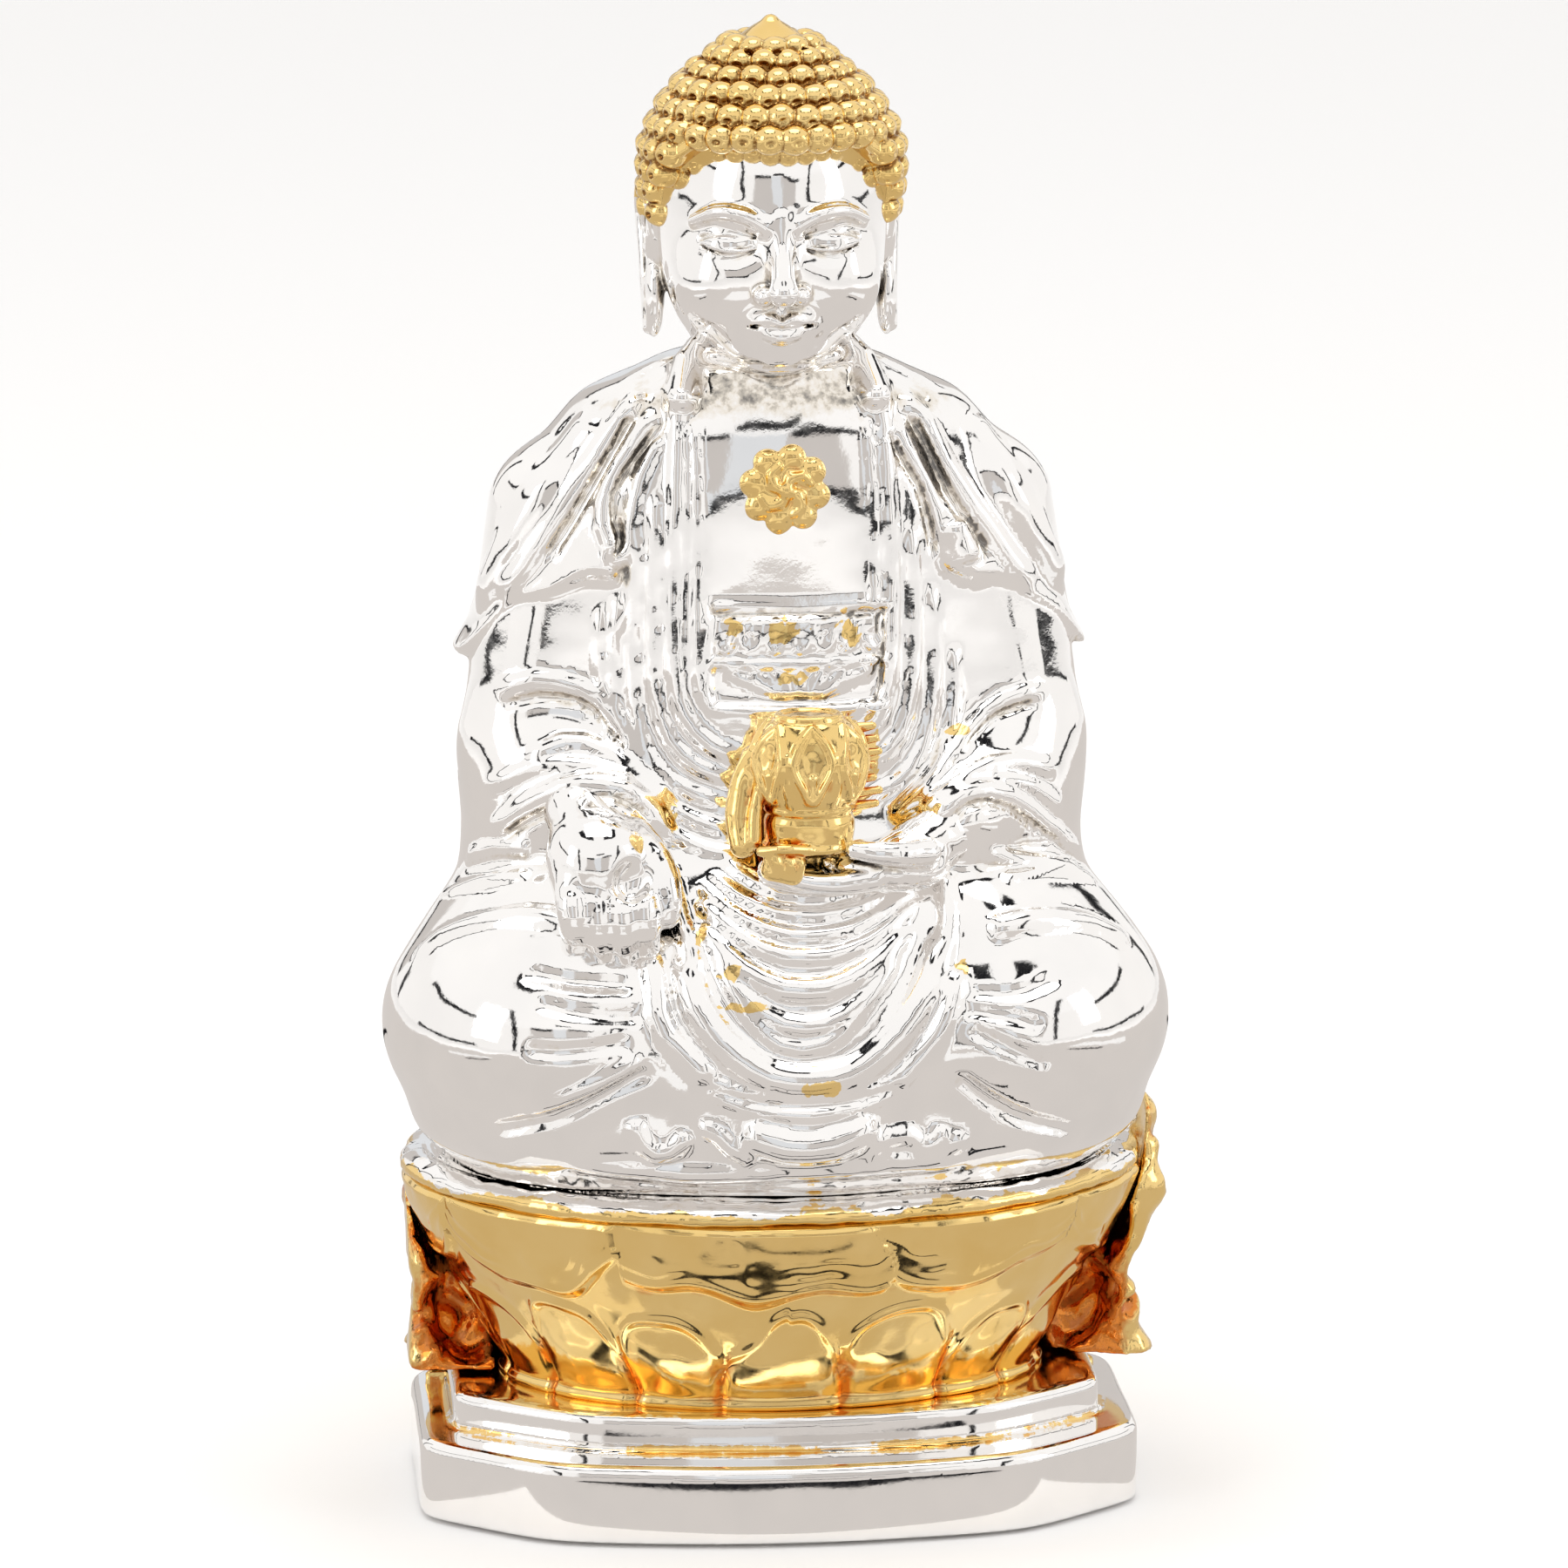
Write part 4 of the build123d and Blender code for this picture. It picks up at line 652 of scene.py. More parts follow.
# ---------------------------------------------------------------- hair
HAIR = column([(122, 7.5, 6.5, 3.6), (125, 10.4, 9.0, 2.4), (130.2, 12.5, 11.6, .4), (133.6, 12.9, 13.0, -1.1), (137, 12.9, 13.6, -1.9), (140.4, 11.5, 12.3, -1.8),
               (143.8, 8.8, 9.6, -1.3), (147, 5.1, 5.4, -.9), (149.0, 2.4, 2.6, -.8), (149.9, .9, .9, -.8)])


def hair_line(P):
    """height of the lower edge of the hair: high over the brow, down in front of the ears, low at the nape"""
    a = np.degrees(np.arctan2(np.abs(P[:, 0]), -(P[:, 1] + 1.0)))
    return np.interp(a, [0, 38, 58, 72, 80, 96, 112, 140, 180], [138.6, 138.3, 135.4, 131.0, 128.6, 132.2, 127.0, 124.0, 123.4])


def hair():
    f = Field()
    f.put("u", lambda P: col(P, HAIR, 2.1, 0.8) + 0.5, (-14, -17, 121), (14, 14, 151))
    f.put("i", lambda P: (hair_line(P) - P[:, 2]) * 0.8, k=0.5)
    # rows of round curls
    row = 0
    zs = [124.6, 126.7, 128.8, 130.9, 133.0, 135.1, 137.2, 139.2, 141.1, 142.9, 144.5, 145.9, 147.0]
    rng = np.random.default_rng(3)
    for z in zs:
        a, b, cy = (np.interp(z, HAIR[:, 0], HAIR[:, i]) for i in (1, 2, 3))
        per = math.pi * (3 * (a + b) - math.sqrt((3 * a + b) * (a + 3 * b)))
        n = max(7, int(round(per / 2.74)))
        for i in range(n):
            t = 2 * math.pi * (i + 0.5 * (row % 2)) / n
            p = np.array([(a - .95) * math.sin(t), cy - (b - .95) * math.cos(t), z + rng.uniform(-.12, .12)])
            if p[2] < hair_line(p[None])[0] + 0.25:
                continue
            nrm = np.array([math.sin(t) / a, -math.cos(t) / b, 0])
            nrm /= np.linalg.norm(nrm)
            r = 1.64 * rng.uniform(.97, 1.04) * (1 if z < 143 else .88)
            f.ell("u", p, (r, r, r * .90), k=0.12)
            # the small hollow at the heart of each curl
            q = p + nrm * (r * 1.02) + np.array([.2, 0, -.2])
            f.ell("s", q, (.42, .42, .26), k=0.35)
        row += 1
    # a round knob and a pointed crown on top
    f.ell("u", (0, -.8, 146.2), (3.2, 3.4, 2.6), k=0.5)
    f.cone("u", (0, -.8, 146.6), (0, -.8, 149.3), 2.3, .6, k=1.2)
    f.put("s", lambda P: ell(P, (0, -1.5, 130.6), (11.2, 12.1, 13.2)), (-13, -15, 116), (13, 12, 145), k=0.1)
    f.put("disp", lambda P: 0.04 * noise(P, 1.4, 8))
    return f, (-14, -17, 122), (14, 14, 150.2)


# ---------------------------------------------------------------- hands
def right_hand_field():
    f = Field()
    f.ell("u", (-18.2, -18.8, 68.4), (5.2, 4.3, 5.0), rot(-20, 10, 6), k=0)
    f.cone("u", (-20.2, -13.8, 72.6), (-18.8, -17.4, 69.2), 3.4, 4.2, k=2.4)
    # four fingers lying together, bent over the knee, the outer two a little shorter
    for i, x in enumerate((-21.4, -19.0, -16.6, -14.4)):
        L = (1.3, .2, 0, .8)[i]
        f.tube("u", [(x * .97 - .5, -20.2, 67.2), (x, -22.4, 64.6 + .4 * L), (x + .2, -22.7, 61.8 + L), (x + .5, -21.4, 60.0 + L)], [1.9, 1.65, 1.5, 1.3], k=0.9)
    f.ell("s", (-15.4, -22.6, 67.6), (1.6, 1.2, 1.9), rot(0, 24, 0), k=1.2)
    f.tube("u", [(-14.8, -17.4, 70.6), (-12.8, -19.8, 68.6), (-11.9, -21.6, 65.8), (-12.0, -22.0, 63.8)], [2.1, 1.8, 1.5, 1.2], k=0.9)
    f.put("disp", lambda P: 0.05 * noise(P, 2.6, 11) + 0.02 * noise(P, .9, 12))
    return f, (-26, -25, 56), (-9, -11, 78)


def left_hand_field():
    f = Field()
    f.ell("u", (9.6, -18.0, 67.6), (6.2, 4.4, 2.6), rot(0, 5, 0), k=0)
    f.cone("u", (15.8, -15.2, 70.2), (12.4, -17.4, 68.6), 3.4, 3.0, k=1.6)
    for i, (y, z, L) in enumerate(((-21.9, 66.6, 0), (-20.1, 66.2, -.9), (-18.2, 66.2, -.7), (-16.4, 66.5, .2))):
        f.tube("u", [(8.6, y + .6, z + .5), (4.6, y, z + .1), (1.2 + L, y + .1, z + .5), (-1.2 + L, y + .3, z + 1.3)], [1.25, 1.15, 1.05, .85], k=0.26)
    f.tube("u", [(13.6, -20.6, 69.4), (11.2, -22.2, 69.6), (8.4, -22.6, 70.0), (6.4, -22.2, 70.2)], [1.5, 1.3, 1.15, .9], k=0.5)
    f.put("disp", lambda P: 0.06 * noise(P, 2.2, 13) + 0.04 * noise(P, .9, 14))
    return f, (-4, -25, 62), (20, -11, 75)


# ---------------------------------------------------------------- jar and roundel
JAR = column([(69.3, 3.7, 3.4), (70.4, 4.3, 3.9), (72.6, 4.5, 4.0), (73.8, 4.2, 3.8), (75.4, 4.9, 4.3), (78.2, 5.6, 4.8), (80.6, 5.2, 4.4), (82.4, 4.0, 3.4), (83.2, 2.7, 2.3)])


def jar():
    f = Field()
    C = np.array([2.2, -18.8, 0])
    f.put("u", lambda P: col(P - C, JAR, 2.2, 0.8), (-5, -25, 68), (9, -12, 85))

    def at(t, z, out=0.0):
        a, b = (np.interp(z, JAR[:, 0], JAR[:, i]) for i in (1, 2))
        return (C[0] + (a + out) * math.sin(t), C[1] - (b + out) * math.cos(t), z)
    n = 7
    for i in range(n):
        t = 2 * math.pi * i / n
        w = math.pi / n
        # embossed leaf: outline, midrib and cup
        f.tube("u", [at(t, 82.4), at(t - .55 * w, 81.0, .1), at(t - .78 * w, 78.8, .15), at(t - .4 * w, 76.6, .2), at(t, 75.0, .2), at(t + .4 * w, 76.6, .2), at(t + .78 * w, 78.8, .15), at(t + .55 * w, 81.0, .1), at(t, 82.4)], .34, k=0.35, n=26)
        f.ell("s", at(t, 79.6, .55), (.95, .7, 1.5), k=0.7)
        f.tube("u", [at(t, 77.6, .0), at(t, 75.4, .15)], .3, k=0.5)
        f.tube("u", [at(t + w, 79.6, .0), at(t + w, 76.4, .0), at(t + w, 74.6, -.1)], [.25, .5, .3], k=0.5)
    for z, r in ((73.9, .32), (70.2, .4), (83.0, .35)):
        f.tube("u", [at(2 * math.pi * i / 18, z) for i in range(19)], r, k=0.3, n=40)
    # tied cloth at the foot, gathered drape on one side, small tines on the other
    f.put("u", lambda P: boxr(P, (-0.6, -22.4, 68.7), (2.1, 1.3, 1.6), 1.0, rot(12, 14, 0)), (-4, -25, 66), (3, -20, 72), k=0.6)
    for a, b in (((-2.4, -23.6, 69.9), (-1.3, -23.9, 67.2)), ((-.9, -23.8, 70.2), (-.2, -24.0, 67.3)), ((.5, -23.7, 70.2), (.9, -23.8, 67.6))):
        f.tube("s", [a, b], .22, k=0.45)
    f.tube("u", [(-2.8, -22.6, 70.3), (-.6, -23.7, 70.7), (1.8, -22.8, 70.4)], .5, k=0.4)
    f.tube("u", [(-3.4, -18.4, 79.0), (-4.2, -18.6, 76.0), (-4.6, -19.0, 73.0), (-4.4, -20.0, 70.4)], [1.0, 1.4, 1.5, 1.3], k=0.9)
    f.tube("u", [(-2.6, -20.4, 77.0), (-3.2, -20.6, 74.0), (-3.4, -21.0, 71.0)], [.5, .7, .8], k=0.5)
    for i in range(7):
        z = 73.6 + i * 1.3
        f.cone("u", (6.6, -17.6, z), (8.9 + .35 * math.sin(i * 1.9), -17.9, z + .35), .62, .38, k=0.3)
    f.put("disp", lambda P: 0.05 * noise(P, 1.8, 15) + 0.02 * noise(P, .7, 16))
    return f, (-8, -26, 66), (11, -12, 85)


def roundel():
    f = Field()
    c = np.array([0.5, -12.0, 104.4])
    f.ell("u", c, (3.6, 1.3, 3.6), k=0)
    for i in range(8):
        t = 2 * math.pi * i / 8 + .2
        p = c + np.array([3.15 * math.sin(t), .1, 3.15 * math.cos(t)])
        f.ell("u", p, (1.42, 1.15, 1.42), k=0.3)
        # curled inner leaves
        q = [c + np.array([r * math.sin(t + a), -1.15 + .1 * r, r * math.cos(t + a)]) for r, a in ((.4, 0), (1.3, .25), (2.2, .65), (2.5, 1.1))]
        if i % 2 == 0:
            f.tube("u", q, [.35, .5, .5, .3], k=0.3)
        else:
            f.tube("s", [x - np.array([0, .25, 0]) for x in q], .25, k=0.3)
    f.ell("u", c + np.array([0, -1.0, 0]), (.9, .8, .9), k=0.3)
    f.put("disp", lambda P: 0.06 * noise(P, 1.0, 17))
    f.put("i", lambda P: P[:, 1] + 10.7, k=0.1)
    return f, (-5.5, -14.6, 98.6), (6.5, -10.3, 110.2)


# ---------------------------------------------------------------- plinth
def prism(P, poly, z0, z1, k):
    A = np.array(poly, float)
    B = np.roll(A, -1, 0)
    D = B - A
    N = np.stack([D[:, 1], -D[:, 0]], 1) / np.linalg.norm(D, axis=1, keepdims=True)
    s = ((P[:, None, :2] - A[None]) * N[None]).sum(2)
    m = s.max(1)
    # soft corners between the sides
    m = m + k * np.log(np.exp(np.clip((s - m[:, None]) / k, -30, 0)).sum(1))
    return smax(smax(m, P[:, 2] - z1, 1.5 * k), z0 - P[:, 2], .4)


def octagon(x0, yf, yfc, x1, y1, y2, xb, yb):
    arc = [(x, yfc + (yf - yfc) * (x / x0) ** 2) for x in np.linspace(-x0, x0, 9)]
    return arc + [(x1, y1), (x1, y2), (xb, yb), (-xb, yb), (-x1, y2), (-x1, y1)]


def plinth():
    f = Field()
    low = octagon(23.4, -23.8, -27.0, 36.4, -13.5, 12.2, 24.0, 22.0)
    top = octagon(19.6, -18.6, -20.9, 32.9, -9.4, 9.2, 21.2, 18.4)
    f.put("u", lambda P: prism(P, low, .4, 8.3, .85))
    f.put("u", lambda P: prism(P, top, 4.0, 12.0, .8), k=0.7)
    f.put("disp", lambda P: 0.08 * noise(P, 16, 18) + 0.03 * noise(P, 6, 19))
    f.put("i", lambda P: .4 - P[:, 2], k=0.1)
    return f, (-37.5, -28, .2), (37.5, 23.5, 12.6)


def plinth_gold(P):
    x, y, z = P[:, 0], P[:, 1], P[:, 2]
    r = np.sqrt((x / 31.4) ** 2 + ((y - .2) / 19.8) ** 2)
    top = step(z, 11.3, 11.8) * (0.5 + 4.0 * (1.05 - r) + .22 * noise(P, 3, 21) + .12 * noise(P, 1.1, 26))
    # a thin line of gold in the corner between the steps
    near = prism(P, octagon(19.6, -18.6, -20.9, 32.9, -9.4, 9.2, 21.2, 18.4), 0, 30, .5)
    tread = step(-near, -1.6, -.5) * step(z, 7.0, 8.0) * step(-z, -9.4, -8.7) * (.52 + .40 * noise(P * (0.5, .5, 1), 2.4, 22))
    return np.clip(np.maximum(top, tread), 0, 1)


# ---------------------------------------------------------------- back screen
def screen():
    f = Field()
    outer = column([(.6, 38.6, 26.6), (6, 38.9, 27.0), (12, 38.4, 26.8), (18, 37.0, 26.0), (22, 36.6, 25.8), (27, 38.6, 27.0), (33, 39.0, 27.2), (39.4, 39.2, 27.4)])
    inner = THRONE_CLEAR

    def wall(P):
        th = np.arctan2(P[:, 0] / 39, -P[:, 1] / 27)
        top = 30.6 + 5.0 * np.exp(-((th - 1.72) / .17) ** 2) + 1.8 * np.sin(th * 5.0 + .6) * step(P[:, 1], 2, 9)
        d = smax(col(P, outer, 2.05, .6), -col(P, inner, 2.05, .3), .8)
        d = smax(d, P[:, 2] - top, 1.0)
        return smax(d, -P[:, 1] - 2.4 + .8 * np.sin(P[:, 2] * .5), .9)
    f.put("u", wall)
    rng = np.random.default_rng(11)
    # cloud lobes in rows, about a third of them with a hollow cut into the front
    for row, z in enumerate((4.5, 11.5, 18.5, 25.0, 30.0)):
        m = 17
        for i in range(m):
            th = 1.50 + (2 * math.pi - 3.0) * (i + .5 * (row % 2)) / (m - .5) + rng.uniform(-.05, .05)
            zz = z + rng.uniform(-1.3, 1.3)
            a, b = (np.interp(zz, outer[:, 0], outer[:, q]) for q in (1, 2))
            c = np.array([(a - 1.0) * math.sin(th), -(b - 1.0) * math.cos(th), zz])
            if c[1] < -2.2:
                continue
            r = rng.uniform(2.2, 3.3)
            nrm = np.array([math.sin(th), -math.cos(th), 0])
            f.ell("u", c - nrm * .9, (r, r * .85, r * .9), k=1.3)
            if rng.random() < .34:
                tilt = rng.uniform(-50, 50)
                f.ell("s", c + nrm * (r * .62), (r * .7, r * 1.0, r * .34), rot(0, tilt, math.degrees(th)), k=1.1)
    # knob and loops at the two ends seen from the front
    f.ell("u", (37.4, 1.0, 36.4), (2.2, 3.4, 3.2), k=1.0)
    f.tube("u", [(38.4, -1.0, 34.0), (38.7, -1.8, 29.5), (37.4, -2.0, 26.0), (35.6, -2.0, 22.0), (34.6, -2.0, 18.5), (36.2, -1.6, 14.6), (37.2, -.8, 13.2)], [1.3, 1.1, 1.0, 1.1, 1.0, 1.1, 1.0], k=.9)
    f.tube("u", [(-36.0, -1.0, 31.5), (-35.4, -1.8, 28), (-33.9, -2.0, 23.5), (-35.2, -2.0, 20.0), (-33.2, -2.0, 16.6), (-34.6, -1.4, 13.4)], [1.2, 1.0, 1.2, 1.0, 1.0, 1.1], k=.9)
    for s in (-1, 1):
        # deep pockets between the outer rolls and the throne
        f.ell("s", (s * 33.6, -2.4, 25.6), (2.2, 4.8, 4.2), rot(0, s * 24, 0), k=1.2)
        f.ell("s", (s * 31.6, -2.6, 17.6), (3.2, 6.4, 4.8), rot(0, s * 20, 0), k=1.4)
        # smaller rocks inside the pockets
        for q, (x, y, z, r) in enumerate(((34.2, 3.4, 27.4, 1.5), (31.4, 3.8, 20.6, 1.7), (33.0, 3.6, 16.0, 1.8), (30.6, 3.2, 14.4, 1.5), (35.6, 1.6, 22.0, 1.2))):
            f.ell("u", (s * x, y, z), (r, r * 1.1, r * 1.3), rot(0, s * 30 * (q % 3 - 1), 0), k=.8)
    f.put("disp", lambda P: .45 * noise(P, 4.2, 23) + .28 * noise(P, 1.8, 24) + .10 * noise(P, .8, 25))
    # bosses over the two locating pins
    for s in (-1, 1):
        f.ell("u", (s * 15, 23.6, 5.0), (3.4, 3.6, 3.2), k=1.2)
    # nothing stands beside the plinth, and the end by the figure's right knee is drawn in
    f.put("s", lambda P: boxr(P, (0, -10, 2), (60, 22.3, 10.4), .6), (-60, -32, -9), (60, 13, 13), k=.5)
    f.put("s", lambda P: boxr(P, (-47.0, -7, 22), (10.0, 14.6, 30), 1.0), (-58, -22, -9), (-36, 8.4, 53), k=1.0)
    # clear of the throne, the plinth and the floor
    f.put("s", lambda P: col(P, THRONE_CLEAR, 2.0, .3), k=.3)
    f.put("s", lambda P: prism(P, octagon(23.6, -24, -27.2, 36.7, -13.6, 12.4, 24.2, 22.2), -2, 8.5, .4), k=.2)
    f.put("s", lambda P: prism(P, octagon(19.8, -18.8, -21.1, 33.2, -9.6, 9.4, 21.4, 18.6), -2, 12.15, .4), k=.2)
    f.put("i", lambda P: .5 - P[:, 2], k=.3)
    return f, (-39.9, -4.4, .2), (40.5, 29, 41)


THRONE = column([(12.0, 27.2, 18.0), (13.0, 27.0, 18.1), (14.2, 27.2, 18.6), (16, 28.0, 19.6), (19, 29.8, 21.4), (25, 33.6, 24.5), (30, 36.0, 26.4), (33.2, 37.0, 27.0)])
THRONE_CLEAR = column([(-6, 28.6, 19.2), (12.0, 28.6, 19.2), (14.2, 28.2, 19.2), (19, 31.0, 22.4), (25, 34.8, 25.6), (30, 37.2, 27.4), (36, 38.3, 28.1), (46, 38.3, 28.1)])

# ---------------------------------------------------------------- materials
def new_material(name):
    m = bpy.data.materials.new(name)
    m.use_nodes = True
    nt = m.node_tree
    b = nt.nodes["Principled BSDF"]
    return m, nt, b


def link(nt, a, b):
    nt.links.new(a, b)


def node(nt, kind, **v):
    n = nt.nodes.new(kind)
    for k, x in v.items():
        if k in n.inputs:
            n.inputs[k].default_value = x
        else:
            setattr(n, k, x)
    return n


def ramp(nt, src, stops, interp="LINEAR"):
    r = nt.nodes.new("ShaderNodeValToRGB")
    r.color_ramp.interpolation = interp
    e = r.color_ramp.elements
    while len(e) > 1:
        e.remove(e[-1])
    e[0].position, e[0].color = stops[0][0], stops[0][1]
    for p, c in stops[1:]:
        x = e.new(p)
        x.color = c
    link(nt, src, r.inputs[0])
    return r.outputs[0]


def g(v):
    return (v, v, v, 1)


def mix(nt, fac, a, b):
    m = nt.nodes.new("ShaderNodeMix")
    m.data_type = "RGBA"
    link(nt, fac, m.inputs[0])
    for s, x in ((m.inputs[6], a), (m.inputs[7], b)):
        if isinstance(x, tuple):
            s.default_value = x
        else:
            link(nt, x, s)
    return m.outputs[2]


def plated(name, all_gold=False, deep=1.0, bump=0.035, shade_metallic=0, hollow_shade=(0.70, 0.235, 0.045, 1)):
    """mirror plating: silver, gold where the piece's gold mask says, and painted shade in the deep hollows:
    copper-orange on the gold, warm beige then dark grey on the silver
    """
    m, nt, b = new_material(name)
    tex = node(nt, "ShaderNodeTexCoord")
    co = tex.outputs["Object"]
    n1 = node(nt, "ShaderNodeTexNoise", Scale=900.0, Detail=5.0, Roughness=0.6)
    link(nt, co, n1.inputs["Vector"])
    n2 = node(nt, "ShaderNodeTexNoise", Scale=160.0, Detail=3.0, Roughness=0.5)
    link(nt, co, n2.inputs["Vector"])
    n3 = node(nt, "ShaderNodeTexNoise", Scale=2600.0, Detail=2.0, Roughness=0.5)
    link(nt, co, n3.inputs["Vector"])
    cav = node(nt, "ShaderNodeAttribute", attribute_name="occlusion_shade")
    silver = ramp(nt, n2.outputs["Fac"], [(0.25, (0.955, 0.935, 0.915, 1)), (0.75, (0.90, 0.885, 0.87, 1))])
    # painted shade on the silver: where the occlusion is deep it turns warm beige, then dark grey where deepest, broken
    # up by noise
    cn = nt.nodes.new("ShaderNodeMath")
    cn.operation = "MULTIPLY"
    link(nt, cav.outputs["Fac"], cn.inputs[0])
    link(nt, n1.outputs["Fac"], cn.inputs[1])
    deepf = ramp(nt, cn.outputs[0], [(0.15, g(0)), (0.28, g(1))])
    silver = mix(nt, deepf, silver, (0.80, 0.735, 0.64, 1))
    silver = mix(nt, ramp(nt, cn.outputs[0], [(0.25, g(0)), (0.38, g(1))]), silver, (0.24, 0.225, 0.21, 1))
    gold = ramp(nt, n2.outputs["Fac"], [(0.3, (0.90, 0.655, 0.275, 1)), (0.7, (0.85, 0.59, 0.215, 1))])
    # painted shade on the gold: where the occlusion is deep it turns to the shade colour, copper-orange unless given
    # otherwise
    gf = ramp(nt, cn.outputs[0], [(0.16 / deep, g(0)), (0.40 / deep, g(1))])
    gold = mix(nt, gf, gold, hollow_shade)
    rough_s = ramp(nt, n1.outputs["Fac"], [(0.3, g(0.035)), (0.7, g(0.085))])
    rough_g = ramp(nt, n1.outputs["Fac"], [(0.3, g(0.07)), (0.7, g(0.16))])
    if all_gold:
        col_out, rough_out = gold, rough_g
    else:
        gm = node(nt, "ShaderNodeAttribute", attribute_name="gold")
        s = nt.nodes.new("ShaderNodeMath")
        s.operation = "MULTIPLY_ADD"
        link(nt, n1.outputs["Fac"], s.inputs[0])
        s.inputs[1].default_value = 0.9
        link(nt, gm.outputs["Fac"], s.inputs[2])
        mask = ramp(nt, s.outputs[0], [(0.93, g(0)), (0.99, g(1))])
        col_out = mix(nt, mask, silver, gold)
        rough_out = mix(nt, mask, rough_s, rough_g)
    link(nt, col_out, b.inputs["Base Color"])
    link(nt, rough_out, b.inputs["Roughness"])
    if shade_metallic:
        # painted shade: in the deepest hollows the plating turns partly matt, so the copper-orange shade colour shows
        link(nt, ramp(nt, cn.outputs[0], [(0.36, g(1)), (0.50, g(shade_metallic))]), b.inputs["Metallic"])
    else:
        b.inputs["Metallic"].default_value = 1.0
    h = nt.nodes.new("ShaderNodeMath")
    h.operation = "MULTIPLY_ADD"
    link(nt, n3.outputs["Fac"], h.inputs[0])
    h.inputs[1].default_value = 0.25
    link(nt, n2.outputs["Fac"], h.inputs[2])
    bp = node(nt, "ShaderNodeBump", Strength=bump, Distance=0.0004)
    link(nt, h.outputs[0], bp.inputs["Height"])
    link(nt, bp.outputs["Normal"], b.inputs["Normal"])
    return m


def felt_material():
    m, nt, b = new_material("felt_short_pile")
    co = node(nt, "ShaderNodeTexCoord").outputs["Object"]
    n = node(nt, "ShaderNodeTexNoise", Scale=2200.0, Detail=6.0, Roughness=0.7)
    v = node(nt, "ShaderNodeTexNoise", Scale=240.0, Detail=2.0)
    link(nt, co, n.inputs["Vector"])
    link(nt, co, v.inputs["Vector"])
    a = ramp(nt, n.outputs["Fac"], [(0.3, (0.020, 0.024, 0.040, 1)), (0.7, (0.060, 0.068, 0.105, 1))])
    c = ramp(nt, v.outputs["Fac"], [(0.35, g(0)), (0.65, g(1))])
    link(nt, mix(nt, c, a, (0.045, 0.052, 0.080, 1)), b.inputs["Base Color"])
    b.inputs["Roughness"].default_value = 0.95
    b.inputs["Sheen Weight"].default_value = 0.4
    bp = node(nt, "ShaderNodeBump", Strength=0.7, Distance=0.0003)
    link(nt, n.outputs["Fac"], bp.inputs["Height"])
    link(nt, bp.outputs["Normal"], b.inputs["Normal"])
    return m


def metal_material(name, dark, light, r0, r1):
    m, nt, b = new_material(name)
    co = node(nt, "ShaderNodeTexCoord").outputs["Object"]
    mp = node(nt, "ShaderNodeMapping")
    mp.inputs["Scale"].default_value = (1, 1, 14)
    link(nt, co, mp.inputs["Vector"])
    n = node(nt, "ShaderNodeTexNoise", Scale=900.0, Detail=4.0)
    link(nt, mp.outputs[0], n.inputs["Vector"])
    link(nt, ramp(nt, n.outputs["Fac"], [(0.3, dark), (0.7, light)]), b.inputs["Base Color"])
    link(nt, ramp(nt, n.outputs["Fac"], [(0.3, g(r0)), (0.7, g(r1))]), b.inputs["Roughness"])
    b.inputs["Metallic"].default_value = 1.0
    bp = node(nt, "ShaderNodeBump", Strength=0.15, Distance=0.0001)
    link(nt, n.outputs["Fac"], bp.inputs["Height"])
    link(nt, bp.outputs["Normal"], b.inputs["Normal"])
    return m


def wood_material():
    m, nt, b = new_material("dowel_hardwood")
    co = node(nt, "ShaderNodeTexCoord").outputs["Object"]
    mp = node(nt, "ShaderNodeMapping")
    mp.inputs["Scale"].default_value = (6, 6, 0.6)
    link(nt, co, mp.inputs["Vector"])
    n = node(nt, "ShaderNodeTexNoise", Scale=300.0, Detail=6.0)
    link(nt, mp.outputs[0], n.inputs["Vector"])
    link(nt, ramp(nt, n.outputs["Fac"], [(0.3, (0.42, 0.27, 0.13, 1)), (0.7, (0.66, 0.48, 0.28, 1))]), b.inputs["Base Color"])
    b.inputs["Roughness"].default_value = 0.6
    bp = node(nt, "ShaderNodeBump", Strength=0.3, Distance=0.0001)
    link(nt, n.outputs["Fac"], bp.inputs["Height"])
    link(nt, bp.outputs["Normal"], b.inputs["Normal"])
    return m


# ---------------------------------------------------------------- pieces into the scene
# Each piece is sculpted about a centre of its own; it is set down where its node's box is.
SCULPTED_ABOUT = {
    "figure_body": (0.0, -1.59, 75.55), "head": (0.0, -3.63, 127.40), "hair_cap": (0.0, -1.64, 140.10),
    "right_hand": (-17.40, -20.66, 64.86), "left_hand": (6.45, -18.60, 66.90), "treasure_jar": (2.00, -18.60, 76.23),
    "chest_roundel": (0.50, -12.03, 104.40), "plinth": (0.0, -2.50, 6.20), "back_screen": (0.84, 12.40, 19.10),
    "throne_seat": (0.0, 0.0, 33.82), "lotus_throne": (0.0, 0.0, 22.60),
}


def placing(node):
    """millimetres from the centre a piece was sculpted about to the centre of its node's box"""
    lo_, hi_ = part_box(node)
    c = (np.array(lo_, float) + np.array(hi_, float)) * 500.0
    return c - np.array(SCULPTED_ABOUT[node], float)


